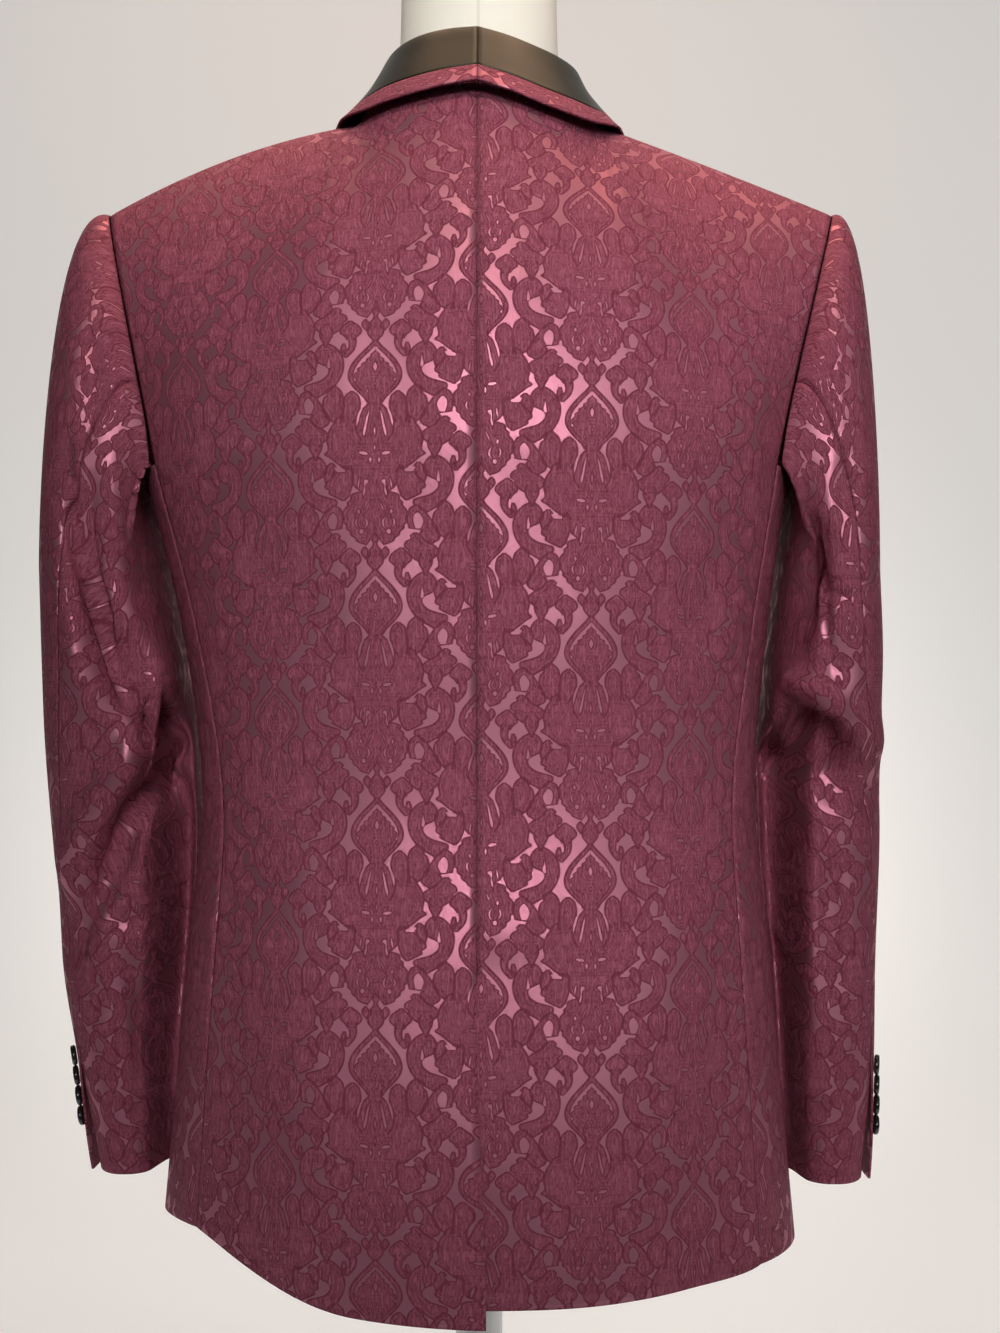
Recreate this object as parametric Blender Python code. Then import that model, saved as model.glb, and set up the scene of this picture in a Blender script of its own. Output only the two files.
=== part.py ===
"""Damask dinner jacket with a satin shawl collar, on a limbless dress form with a plain stand.

The back faces -Y, the wearer's right is +X, and the stand's base rests on Z = 0.
"""
import math

import bmesh
import bpy
import numpy as np
from mathutils import Matrix, Vector

# Wall and seam sizes
WALL = 0.0018
SLEEVE_WALL = 0.0016
COLLAR_WALL = 0.0014
SEAM = 0.0003
ARMHOLE_GAP = 0.0008
UNDERARM_GAP = 0.0024

# Body of the jacket
HEM = 0.165
UNDERARM = 0.525
SECTION_POWER = 2.35
ARMHOLE_FRONT_ANGLE = 118.0
UNDERARM_DIP = 0.016
HEM_RISE = 0.016
LEFT_HEM_LIFT = 0.024
LEFT_HEM_DROP = 0.005
FRONT_CORNER_LIFT = 0.038
FRONT_CORNER_REACH = 0.34
HEM_CURVE = 1.6
LEFT_LIFT_FROM = 0.30
LEFT_DROP_REACH = 0.70
RIGHT_HEM_LIFT = 0.0045
RIGHT_LIFT_TO = 0.60

# Shoulder and neck points: x, y, z
NECK_BACK = np.array([0.0, -0.068, 0.943])
NECK_SIDE = np.array([0.078, -0.005, 0.930])
SHOULDER_TIPS = {1: np.array([0.241, 0.000, 0.869]), -1: np.array([0.252, 0.000, 0.869])}
SHOULDER_ARCHES = {1: 0.001, -1: 0.009}
NECK_SHARE = 0.36

# How the panels leave the underarm line and arrive at the top: pulls along x, y, z
BACK_LEAVE_MIDDLE = np.array([0.0, -0.010, 0.260])
BACK_LEAVE_SIDE = np.array([0.030, 0.0, 0.170])
BACK_ARRIVE_NECK = np.array([0.0, 0.115, 0.165])
BACK_ARRIVE_SHOULDER = np.array([0.015, 0.115, 0.025])
BACK_ARRIVE_FROM = 0.10
BACK_ARRIVE_REACH = 0.60
# Fullness of the back below the neck side: extra pull forward, place across the back, spread
NECK_FULLNESS = 0.130
NECK_FULLNESS_AT = 0.38
NECK_FULLNESS_SPREAD = 0.17
FRONT_LEAVE_ARM = np.array([-0.020, 0.0, 0.170])
FRONT_LEAVE_NECK = np.array([0.025, 0.0, 0.220])
FRONT_ARRIVE_ARM = np.array([0.030, -0.120, 0.020])
FRONT_ARRIVE_NECK = np.array([0.010, -0.120, 0.080])

# Centre vent
VENT_LENGTH = 0.235
VENT_RAMP = 0.030
UNDERLAP_WIDTH = 0.036
UNDERLAP_DEPTH = 0.0027
UNDERLAP_FADE = 0.085
OVERLAP_AT_HEM = 0.006

# Front opening
BUTTON_LEVEL = 0.325
LAPEL_END = 0.388
FRONT_LAP_DEPTH = 0.0027
FRONT_LAP_FROM = 0.004
FRONT_LAP_FADE = 0.070

# Cuffs and buttons
CUFF_VENT = 0.105
CUFF_FLARE = 0.0060
FLARE_SHARES = (0.12, 0.45, 1.0)
BUTTON_RADIUS = 0.0068
BUTTON_THICKNESS = 0.0034
BUTTON_PITCH = 0.0138
BUTTONS_PER_CUFF = 4
BUTTON_ABOVE_HEM = 0.036
FRONT_BUTTON_RADIUS = 0.0105
BUTTON_STEPS = 14
# Button outline: share of the radius, share of the thickness
BUTTON_OUTLINE = (
    (0.00, 0.00),
    (0.80, 0.00),
    (1.00, 0.35),
    (0.97, 0.85),
    (0.80, 1.00),
    (0.55, 0.72),
    (0.00, 0.62),
)

# Dress form and stand
FORM_REST = 0.0013
POST_RADIUS = 0.016
BASE_RADIUS = 0.165
BASE_THICKNESS = 0.012

# Body sections: height above the hem, half width right and left, depth behind, depth in front,
# side seam angle
BODY_SECTIONS = np.array([
    (0.000, 0.215, 0.215, 0.129, 0.128, 55.0),
    (0.105, 0.205, 0.205, 0.135, 0.131, 56.0),
    (0.210, 0.196, 0.196, 0.129, 0.128, 57.0),
    (0.305, 0.187, 0.187, 0.120, 0.124, 59.0),
    (0.420, 0.195, 0.200, 0.131, 0.133, 63.0),
    (0.525, 0.209, 0.225, 0.139, 0.139, 66.0),
])

# Front edge: height above the hem, distance from the middle towards the wearer's own side
FRONT_EDGE = np.array([
    (0.000, 0.048),
    (0.050, 0.026),
    (0.110, 0.008),
    (0.190, -0.008),
    (0.285, -0.016),
    (0.345, -0.012),
    (0.388, 0.003),
    (0.525, 0.046),
])

# Sleeve sections: height above the hem, inner side, outer side, back, front, hind seam angle
RIGHT_SLEEVE = np.array([
    (0.460, 0.2055, 0.2675, -0.078, 0.078, 80.0),
    (0.400, 0.1980, 0.2705, -0.077, 0.084, 72.0),
    (0.362, 0.1945, 0.2720, -0.066, 0.092, 64.0),
    (0.330, 0.1930, 0.2770, -0.038, 0.100, 57.0),
    (0.275, 0.1945, 0.2785, -0.030, 0.104, 52.0),
    (0.195, 0.2010, 0.2760, -0.026, 0.104, 46.0),
    (0.115, 0.2075, 0.2745, -0.022, 0.102, 43.0),
    (0.046, 0.2130, 0.2675, -0.018, 0.100, 42.0),
])
LEFT_SLEEVE = np.array([
    (0.460, 0.2140, 0.2920, -0.080, 0.072, 76.0),
    (0.400, 0.2020, 0.2910, -0.081, 0.078, 68.0),
    (0.345, 0.1950, 0.2925, -0.070, 0.090, 60.0),
    (0.295, 0.1935, 0.2937, -0.050, 0.098, 54.0),
    (0.245, 0.1965, 0.2914, -0.036, 0.102, 48.0),
    (0.185, 0.2015, 0.2885, -0.030, 0.102, 44.0),
    (0.115, 0.2075, 0.2758, -0.026, 0.100, 42.0),
    (0.054, 0.2130, 0.2630, -0.022, 0.096, 41.0),
])
# Sleeve heads: fullness left and right, then how they leave the armhole and hang
HEAD_FULLNESS = (0.14, 0.02)
HEAD_OUT = 0.30
HEAD_BACK = 0.35
HEAD_UP = 0.65
HEAD_DOWN = 0.50
HEAD_HANG = 1.10
HEAD_WAYS = (0.0, 0.12, 0.30, 0.50, 0.75)
# Parts of the armhole seam, counted from the shoulder tip: end of the back, start of the front
ARMHOLE_BACK_END = 0.37
ARMHOLE_FRONT_START = 0.62
UNDERARM_TOP = 0.35
UNDERARM_BLEND = 0.25
HIND_SEAM_START = 98.0
FORE_SEAM_ANGLE = 232.0
SLEEVE_POWER = 2.5
FOLD_END_SPREAD = 20.0
FOLDS_FROM = 0.80

# Largest folds of the sleeves: angle and height at each end, half width, depth (out is positive)
RIGHT_FOLDS = np.array([
    (140.0, 0.375, 55.0, 0.345, 0.017, 0.0070),
    (140.0, 0.335, 58.0, 0.308, 0.014, -0.0060),
    (120.0, 0.470, 100.0, 0.400, 0.022, -0.0040),
])
LEFT_FOLDS = np.array([
    (140.0, 0.390, 35.0, 0.225, 0.019, 0.0075),
    (140.0, 0.350, 48.0, 0.180, 0.017, -0.0070),
    (75.0, 0.520, 110.0, 0.400, 0.020, -0.0045),
])

# Shawl collar round the back neck: way to the neck side, stand height, inward lean, drop of the
# outer edge below the seam, stand-off of that edge from the cloth
SHAWL_BACK_LEFT = np.array([
    (0.00, 0.0300, 0.004, 0.028, 0.0130),
    (0.35, 0.0300, 0.007, 0.032, 0.0100),
    (0.70, 0.0295, 0.012, 0.028, 0.0085),
    (1.00, 0.0290, 0.015, 0.016, 0.0085),
])
SHAWL_BACK_RIGHT = np.array([
    (0.00, 0.0300, 0.004, 0.028, 0.0130),
    (0.35, 0.0215, 0.004, 0.042, 0.0100),
    (0.70, 0.0205, 0.006, 0.044, 0.0100),
    (1.00, 0.0225, 0.009, 0.032, 0.0095),
])
# Shawl collar down the front: way to the lapel's end, stand height, width
SHAWL_FRONT = np.array([
    (0.00, 0.0330, 0.017),
    (0.12, 0.0250, 0.035),
    (0.30, 0.0110, 0.066),
    (0.50, 0.0030, 0.080),
    (0.75, 0.0010, 0.062),
    (0.92, 0.0010, 0.036),
    (1.00, 0.0010, 0.022),
])
SHAWL_ROWS = (0.0, 0.04, 0.10, 0.20, 0.32, 0.45, 0.60, 0.74, 0.87, 1.0)
SHAWL_BACK_ROWS = 7
SHAWL_SPREAD = 0.055
SHAWL_SPREAD_FROM = 0.35
SHAWL_LIFT = 0.0040
SHOULDER_LIFT = 0.0040
STAND_LEAST = 0.006
TRIM_WIDTH = 0.011
COLLAR_FALL = 0.038
ROLL_RADIUS = 0.0030
ROLL_START = 0.03
ROLL_SWELL = 0.0012
NECKWARD = np.array([-0.42, 0.08, 0.90])
NECKWARD_FADE = 0.40
SHOULDER_FADE = 0.20

# Dress form below the shoulders: height, half width, depth behind, depth in front, squareness
FORM_SECTIONS = np.array([
    (0.205, 0.150, 0.098, 0.092, 2.1),
    (0.270, 0.166, 0.112, 0.104, 2.1),
    (0.370, 0.164, 0.108, 0.104, 2.1),
    (0.470, 0.152, 0.096, 0.101, 2.1),
    (0.600, 0.165, 0.108, 0.114, 2.1),
    (0.700, 0.176, 0.118, 0.114, 2.1),
    (0.780, 0.184, 0.104, 0.088, 2.0),
    (0.835, 0.192, 0.078, 0.058, 1.7),
])
# Dress form over the shoulders: drop below the neck side, gap to the shoulder seam, depth behind,
# depth in front, squareness
FORM_SHOULDER = np.array([
    (0.047, 0.000, 0.056, 0.044, 1.20),
    (0.032, 0.044, 0.046, 0.024, 1.35),
    (0.014, 0.056, 0.046, 0.034, 1.80),
])
# Dress form neck: height, half width, depth behind, depth in front, squareness
FORM_NECK = np.array([
    (0.935, 0.0560, 0.048, 0.050, 2.0),
    (0.960, 0.0550, 0.049, 0.060, 2.0),
    (1.000, 0.0535, 0.046, 0.062, 2.0),
    (1.047, 0.0530, 0.044, 0.064, 2.0),
    (1.055, 0.0490, 0.040, 0.060, 2.0),
])

FORM_STEPS = 32
TURNED_STEPS = 32
POST_LENGTH = FORM_SECTIONS[0, 0] - BASE_THICKNESS - 2 * SEAM
POST_OUTLINE = (
    (0.0, 0.0),
    (2.2 * POST_RADIUS, 0.0),
    (2.2 * POST_RADIUS, 0.008),
    (POST_RADIUS, 0.012),
    (POST_RADIUS, POST_LENGTH),
    (0.0, POST_LENGTH),
)
BASE_OUTLINE = (
    (0.0, 0.0),
    (BASE_RADIUS - 0.002, 0.0),
    (BASE_RADIUS, 0.002),
    (BASE_RADIUS, BASE_THICKNESS - 0.003),
    (BASE_RADIUS - 0.003, BASE_THICKNESS),
    (0.0, BASE_THICKNESS),
)


def clear_scene():
    for piece in list(bpy.data.objects):
        bpy.data.objects.remove(piece, do_unlink=True)


def smooth(value):
    """Ease from 0 to 1."""
    value = min(max(value, 0.0), 1.0)
    return value * value * (3.0 - 2.0 * value)


def follow(table, column, value):
    """Smooth curve through one column of a table, over its first column."""
    keys = table[:, 0]
    marks = table[:, column]
    if keys[0] > keys[-1]:
        keys = keys[::-1]
        marks = marks[::-1]
    value = min(max(value, keys[0]), keys[-1])
    slopes = np.gradient(marks, keys)
    k = min(int(np.searchsorted(keys, value, side="right")) - 1, len(keys) - 2)
    span = keys[k + 1] - keys[k]
    t = (value - keys[k]) / span
    a = (1 + 2 * t) * (1 - t) ** 2 * marks[k] + t * (1 - t) ** 2 * span * slopes[k]
    b = t * t * (3 - 2 * t) * marks[k + 1] + t * t * (t - 1) * span * slopes[k + 1]
    return a + b


def hermite(start, start_pull, end, end_pull, t):
    """Curve from start to end that leaves and arrives along the two pulls."""
    a = (1 + 2 * t) * (1 - t) ** 2 * start + t * (1 - t) ** 2 * start_pull
    return a + t * t * (3 - 2 * t) * end + t * t * (t - 1) * end_pull


def signed_power(value, power):
    return math.copysign(abs(value) ** power, value)


def half_width(height, side):
    return follow(BODY_SECTIONS, 1 if side > 0 else 2, height)


def body_section(angle, height, side):
    """Point on the jacket's body; angle 0 is the centre back, 180 the centre front."""
    half = half_width(height, side)
    depth = follow(BODY_SECTIONS, 3 if math.cos(math.radians(angle)) > 0 else 4, height)
    c = signed_power(math.cos(math.radians(angle)), 2.0 / SECTION_POWER)
    s = signed_power(math.sin(math.radians(angle)), 2.0 / SECTION_POWER)
    return np.array([half * s, -depth * c, HEM + height])


def underarm_dip(angle):
    start = BODY_SECTIONS[-1, 5]
    share = (angle - start) / (ARMHOLE_FRONT_ANGLE - start)
    if share <= 0.0 or share >= 1.0:
        return 0.0
    return UNDERARM_DIP * math.sin(math.pi * share) ** 2


def lower_body(angle, way, hem_lift, side):
    """Body below the underarm; way runs from 0 at the hem to 1 at the underarm."""
    low = hem_lift
    high = UNDERARM - underarm_dip(angle)
    return body_section(angle, low + (high - low) * way, side)


def shoulder_seam(share, side):
    """Shoulder seam from the neck side (0) to the shoulder tip (1)."""
    point = NECK_SIDE + (SHOULDER_TIPS[side] - NECK_SIDE) * share
    return point + np.array([0.0, 0.0, SHOULDER_ARCHES[side] * 4.0 * share * (1.0 - share)])


def shoulder_normal(share, side):
    """Upward normal shared by the back and the front along the shoulder seam."""
    along = shoulder_seam(share + 0.01, side) - shoulder_seam(share - 0.01, side)
    return np.array([-along[2], 0.0, along[0]]) / math.hypot(along[0], along[2])


def neck_seam(share):
    """Back neck seam from the centre back (0) to the neck side (1)."""
    turn = share * math.pi / 2
    x = NECK_SIDE[0] * math.sin(turn)
    y = NECK_SIDE[1] + (NECK_BACK[1] - NECK_SIDE[1]) * math.cos(turn)
    z = NECK_BACK[2] + (NECK_SIDE[2] - NECK_BACK[2]) * share * share
    return np.array([x, y, z])


def back_top(u, side):
    if u < NECK_SHARE:
        return neck_seam(u / NECK_SHARE)
    return shoulder_seam((u - NECK_SHARE) / (1.0 - NECK_SHARE), side)


def side_angle(height):
    return follow(BODY_SECTIONS, 5, height)


def back_surface(u, way, side):
    """Back half; u runs from the centre back to the side, way 0-1 below and 1-2 above the underarm."""
    mirror = -1.0 if u < 0 else 1.0
    u = abs(u)
    if way <= 1.0:
        lift = HEM_RISE * u ** HEM_CURVE
        if side < 0:
            lift += LEFT_HEM_LIFT * smooth((u - LEFT_LIFT_FROM) / (1.0 - LEFT_LIFT_FROM))
            lift -= LEFT_HEM_DROP * (1.0 - smooth(u / LEFT_DROP_REACH))
        else:
            lift += RIGHT_HEM_LIFT * (1.0 - smooth((u - RIGHT_LIFT_TO) / (1.0 - RIGHT_LIFT_TO)))
        angle = u * side_angle(UNDERARM * way)
        point = lower_body(angle, way, lift, side)
    else:
        base = body_section(u * side_angle(UNDERARM), UNDERARM, side)
        leave = BACK_LEAVE_MIDDLE + (BACK_LEAVE_SIDE - BACK_LEAVE_MIDDLE) * u
        share = smooth((u - BACK_ARRIVE_FROM) / BACK_ARRIVE_REACH)
        arrive = BACK_ARRIVE_NECK + (BACK_ARRIVE_SHOULDER - BACK_ARRIVE_NECK) * share
        arrive[1] += NECK_FULLNESS * math.exp(-((u - NECK_FULLNESS_AT) / NECK_FULLNESS_SPREAD) ** 2)
        point = hermite(base, leave, back_top(u, side), arrive, way - 1.0)
    point[0] *= mirror
    return point


def front_edge(height):
    return follow(FRONT_EDGE, 1, height)


def front_angle(height, side):
    share = front_edge(height) / half_width(height, side)
    return 180.0 - math.degrees(math.asin(signed_power(share, SECTION_POWER / 2.0)))


def front_surface(u, way, side):
    """Front half; u 0-1 runs from the side seam to below the armhole's front, 1-2 on to the front edge."""
    if way <= 1.0:
        height = UNDERARM * way
        if u <= 1.0:
            start = side_angle(height)
            angle = start + (ARMHOLE_FRONT_ANGLE - start) * u
        else:
            angle = ARMHOLE_FRONT_ANGLE + (front_angle(height, side) - ARMHOLE_FRONT_ANGLE) * (u - 1.0)
        reach = max(0.0, (u - 2.0 + FRONT_CORNER_REACH) / FRONT_CORNER_REACH)
        lift = FRONT_CORNER_LIFT * (1.0 - math.sqrt(max(0.0, 1.0 - min(reach, 1.0) ** 2)))
        lift += HEM_RISE * (1.0 - 0.5 * smooth(u / HEM_CURVE))
        if side < 0:
            lift += LEFT_HEM_LIFT * (1.0 - smooth(u / HEM_CURVE))
        return lower_body(angle, way, lift, side)
    share = u - 1.0
    angle = ARMHOLE_FRONT_ANGLE + (front_angle(UNDERARM, side) - ARMHOLE_FRONT_ANGLE) * share
    base = body_section(angle, UNDERARM, side)
    leave = FRONT_LEAVE_ARM + (FRONT_LEAVE_NECK - FRONT_LEAVE_ARM) * share
    arrive = FRONT_ARRIVE_ARM + (FRONT_ARRIVE_NECK - FRONT_ARRIVE_ARM) * share
    return hermite(base, leave, shoulder_seam(1.0 - share, side), arrive, way - 1.0)


def surface_normal(surface, u, way, step=0.004):
    """Outward normal of a surface, from points on both sides where the surface goes on."""
    across = surface(u + step, way) - surface(u - step, way)
    up = surface(u, min(way + step, 2.0)) - surface(u, max(way - step, 0.0))
    normal = np.cross(across, up)
    return normal / np.linalg.norm(normal)


def flip(points):
    return points * np.array([-1.0, 1.0, 1.0])


def grid_normals(points):
    """Outward normals of a grid of points, rows upward and columns across."""
    up = np.gradient(points, axis=0)
    across = np.gradient(points, axis=1)
    normals = np.cross(across, up)
    return normals / np.linalg.norm(normals, axis=2)[:, :, None]


def make_material(name, colour, roughness, metallic=0.0):
    material = bpy.data.materials.new(name)
    material.use_nodes = True
    shader = material.node_tree.nodes["Principled BSDF"]
    shader.inputs["Base Color"].default_value = (*colour, 1.0)
    shader.inputs["Roughness"].default_value = roughness
    shader.inputs["Metallic"].default_value = metallic
    return material


def add_object(name, form, material):
    """Give a finished form its object, its material and smooth shading."""
    bmesh.ops.recalc_face_normals(form, faces=form.faces)
    mesh = bpy.data.meshes.new(name)
    form.to_mesh(mesh)
    form.free()
    mesh.materials.append(material)
    mesh.shade_smooth()
    piece = bpy.data.objects.new(name, mesh)
    bpy.context.scene.collection.objects.link(piece)
    return piece


def add_wall(name, outer, normals, thickness, material, mirrored, keep=None):
    """Closed cloth wall from a grid of outer points, as thick as the cloth, inward."""
    inner = outer - normals * thickness
    if mirrored:
        outer = flip(outer)
        inner = flip(inner)
    rows, columns = outer.shape[:2]
    if keep is None:
        keep = np.ones((rows - 1, columns - 1), dtype=bool)
    form = bmesh.new()
    made = {}

    def corner(layer, r, c):
        if (layer, r, c) not in made:
            made[(layer, r, c)] = form.verts.new((outer if layer == 0 else inner)[r, c])
        return made[(layer, r, c)]

    def kept(r, c):
        return 0 <= r < rows - 1 and 0 <= c < columns - 1 and keep[r, c]

    for r in range(rows - 1):
        for c in range(columns - 1):
            if not keep[r, c]:
                continue
            ring = [(r, c), (r, c + 1), (r + 1, c + 1), (r + 1, c)]
            form.faces.new([corner(0, *p) for p in ring])
            form.faces.new([corner(1, *p) for p in reversed(ring)])
            beside = [(r - 1, c), (r, c + 1), (r + 1, c), (r, c - 1)]
            for k in range(4):
                if not kept(*beside[k]):
                    a, b = ring[k], ring[(k + 1) % 4]
                    form.faces.new([corner(0, *b), corner(0, *a), corner(1, *a), corner(1, *b)])
    return add_object(name, form, material)


def shorten(points, first, last, gap):
    """Draw the chosen outer columns of a grid in by a seam gap."""
    points = points.copy()
    for end, inside, wanted in ((0, 1, first), (-1, -2, last)):
        if wanted:
            way = points[:, inside] - points[:, end]
            points[:, end] += way / np.linalg.norm(way, axis=1)[:, None] * gap
    return points


def row_ways(below, above):
    low = [k / below for k in range(below)]
    high = [1.0 + k / above for k in range(above + 1)]
    return low + high


def build_backs(cloth):
    """Two back halves with the centre vent."""
    ways = row_ways(12, 8)
    for side, name in ((-1, "back_left"), (1, "back_right")):
        spread = np.linspace(0.0, 1.0, 11)
        columns = np.concatenate([[-0.24, -0.12], spread]) if side > 0 else spread
        points = np.zeros((len(ways), len(columns), 3))
        normals = np.zeros_like(points)

        def surface(u, way):
            return back_surface(u, way, side)

        for r, way in enumerate(ways):
            for c, u in enumerate(columns):
                points[r, c] = surface(u, way)
                normals[r, c] = surface_normal(surface, u, way)
            drop = VENT_LENGTH - UNDERARM * min(way, 1.0)
            open_share = smooth(drop / VENT_RAMP)
            if side > 0:
                for c in range(len(columns)):
                    away = max(points[r, c, 0], 0.0)
                    fade = 1.0 - smooth(away / UNDERLAP_FADE)
                    points[r, c] -= normals[r, c] * UNDERLAP_DEPTH * open_share * fade
                points[r, 2, 0] += SEAM / 2 * (1.0 - open_share)
                points[r, 1, 0] = -UNDERLAP_WIDTH / 2
                points[r, 0, 0] = -UNDERLAP_WIDTH
            else:
                lap = OVERLAP_AT_HEM * smooth((drop - VENT_RAMP) / (VENT_LENGTH - VENT_RAMP))
                points[r, 0, 0] += SEAM / 2 - lap
        for c, u in enumerate(columns):
            if u >= NECK_SHARE:
                normals[-1, c] = shoulder_normal((u - NECK_SHARE) / (1.0 - NECK_SHARE), side)
        points = shorten(points, False, True, SEAM / 2)
        points[-1, :, 1] -= SEAM / 2
        keep = np.ones((len(ways) - 1, len(columns) - 1), dtype=bool)
        if side > 0:
            for r in range(len(ways) - 1):
                keep[r, :2] = UNDERARM * ways[r + 1] <= VENT_LENGTH - VENT_RAMP
        add_wall(name, points, normals, WALL, cloth, side < 0, keep)


def build_fronts(cloth):
    """Two fronts, each from the side seam round to the front edge; the left laps over the right."""
    ways = row_ways(12, 8)
    columns = np.concatenate([np.linspace(0.0, 1.0, 6), np.linspace(1.0, 2.0, 9)[1:]])
    for side, name in ((-1, "front_left"), (1, "front_right")):
        points = np.zeros((len(ways), len(columns), 3))
        normals = np.zeros_like(points)

        def surface(u, way):
            return front_surface(u, way, side)

        for r, way in enumerate(ways):
            for c, u in enumerate(columns):
                if way > 1.0 and u < 1.0:
                    points[r, c] = surface(u, 1.0)
                    continue
                points[r, c] = surface(u, way)
                normals[r, c] = surface_normal(surface, u, way)
                if side > 0:
                    tuck = 1.0 - smooth((points[r, c, 0] - FRONT_LAP_FROM) / FRONT_LAP_FADE)
                    tuck *= 1.0 if points[r, c, 1] > 0.0 else 0.0
                    points[r, c] -= normals[r, c] * FRONT_LAP_DEPTH * tuck
        for c, u in enumerate(columns):
            if u >= 1.0:
                normals[-1, c] = shoulder_normal(2.0 - u, side)
        points = shorten(points, True, False, SEAM / 2)
        points[-1, :, 1] += SEAM / 2
        keep = np.ones((len(ways) - 1, len(columns) - 1), dtype=bool)
        for r in range(len(ways) - 1):
            if ways[r] >= 1.0:
                keep[r, :5] = False
        add_wall(name, points, normals, WALL, cloth, side < 0, keep)


def armhole(share, side):
    """Armhole seam from the shoulder tip (0), down the back, under the arm and up the front (1)."""
    if share < ARMHOLE_BACK_END:
        return back_surface(1.0, 2.0 - share / ARMHOLE_BACK_END, side)
    if share < ARMHOLE_FRONT_START:
        under = (share - ARMHOLE_BACK_END) / (ARMHOLE_FRONT_START - ARMHOLE_BACK_END)
        return front_surface(under, 1.0, side)
    return front_surface(1.0, 1.0 + (share - ARMHOLE_FRONT_START) / (1.0 - ARMHOLE_FRONT_START), side)


def sleeve_surface(angle, way, side):
    """Sleeve; angle 0 is its outer side, 90 the back, 180 the inner side; way 0-1 is the head."""
    table = RIGHT_SLEEVE if side > 0 else LEFT_SLEEVE
    angle = angle % 360.0
    if way < 1.0:
        top = 0.5 + 0.5 * math.cos(math.radians(angle))
        under = smooth((UNDERARM_TOP - top) / UNDERARM_BLEND)
        away = ARMHOLE_GAP + (UNDERARM_GAP - ARMHOLE_GAP) * under
        start = armhole(angle / 360.0, side) + np.array([away, 0.0, 0.0])
        end = sleeve_section(table, angle, table[0, 0])
        length = np.linalg.norm(end - start)
        back = math.sin(math.radians(angle))
        fullness = HEAD_FULLNESS[0 if side < 0 else 1]
        leave = np.array([HEAD_OUT + fullness * top, -HEAD_BACK * back, HEAD_UP * top - HEAD_DOWN])
        hang = np.array([0.0, 0.0, -HEAD_HANG * length])
        return hermite(start, leave * length, end, hang, way)
    low = table[-1, 0]
    return sleeve_section(table, angle, table[0, 0] + (low - table[0, 0]) * (way - 1.0))


def sleeve_section(table, angle, height):
    inner = follow(table, 1, height)
    outer = follow(table, 2, height)
    back = follow(table, 3, height)
    front = follow(table, 4, height)
    c = signed_power(math.cos(math.radians(angle)), 2.0 / SLEEVE_POWER)
    s = signed_power(math.sin(math.radians(angle)), 2.0 / SLEEVE_POWER)
    x = (inner + outer) / 2 + (outer - inner) / 2 * c
    y = (back + front) / 2 - (front - back) / 2 * s
    return np.array([x, y, HEM + height])


def fold_depth(folds, angle, height):
    """How far the large folds move the cloth out or in at one place on a sleeve."""
    total = 0.0
    for angle_a, height_a, angle_b, height_b, half_width, depth in folds:
        share = min(max((angle - angle_a) / (angle_b - angle_a), 0.0), 1.0)
        line = height_a + (height_b - height_a) * share
        beyond = abs(angle - (angle_a + (angle_b - angle_a) * share)) / FOLD_END_SPREAD
        total += depth * math.exp(-((height - line) / half_width) ** 2 - beyond ** 2)
    return total


def sleeve_point(angle, way, side):
    table = RIGHT_SLEEVE if side > 0 else LEFT_SLEEVE
    point = sleeve_surface(angle, way, side)
    away = np.array([math.cos(math.radians(angle)), -math.sin(math.radians(angle)), 0.0])
    if way > 0.0:
        depth = fold_depth(RIGHT_FOLDS if side > 0 else LEFT_FOLDS, angle % 360.0, point[2] - HEM)
        point = point + away * depth * smooth(way / FOLDS_FROM)
    return point


def hind_angle(table, way):
    if way < 1.0:
        return HIND_SEAM_START + (table[0, 5] - HIND_SEAM_START) * way
    height = table[0, 0] + (table[-1, 0] - table[0, 0]) * (way - 1.0)
    return follow(table, 5, height)


def build_sleeves(cloth, button_black):
    """Two-piece sleeves with an open cuff vent on the hind seam, and the cuff buttons."""
    ways = [*HEAD_WAYS, *np.linspace(1.0, 2.0, 17)]
    for side, word in ((-1, "left"), (1, "right")):
        table = RIGHT_SLEEVE if side > 0 else LEFT_SLEEVE

        def surface(angle, way):
            return sleeve_point(angle, way, side)

        for part, columns in (("top_sleeve", 11), ("under_sleeve", 10)):
            points = np.zeros((len(ways), columns, 3))
            normals = np.zeros_like(points)
            for r, way in enumerate(ways):
                hind = hind_angle(table, way)
                angles = np.linspace(hind, FORE_SEAM_ANGLE, columns)
                if part == "top_sleeve":
                    before = np.linspace(FORE_SEAM_ANGLE - 360.0, 0.0, 7)
                    angles = np.concatenate([before, np.linspace(0.0, hind, columns - 6)[1:]])
                for c, angle in enumerate(angles):
                    points[r, c] = surface(angle, way)
                    across = surface(angle + 2.0, way) - surface(angle - 2.0, way)
                    down = surface(angle, min(way + 0.02, 2.0)) - surface(angle, max(way - 0.02, 0.0))
                    normal = np.cross(across, down)
                    normals[r, c] = normal / np.linalg.norm(normal)
            length = (ways[-1] - np.array(ways)) * (table[0, 0] - table[-1, 0])
            points = shorten(points, True, True, 1.5 * SEAM)
            if part == "top_sleeve":
                for r in range(len(ways)):
                    flare = CUFF_FLARE * smooth(1.0 - length[r] / CUFF_VENT)
                    for column, share in zip((-3, -2, -1), FLARE_SHARES):
                        points[r, column] += normals[r, column] * flare * share
            add_wall(f"{part}_{word}", points, normals, SLEEVE_WALL, cloth, side < 0)
            if part == "top_sleeve":
                add_cuff_buttons(word, side, points, button_black)


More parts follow.
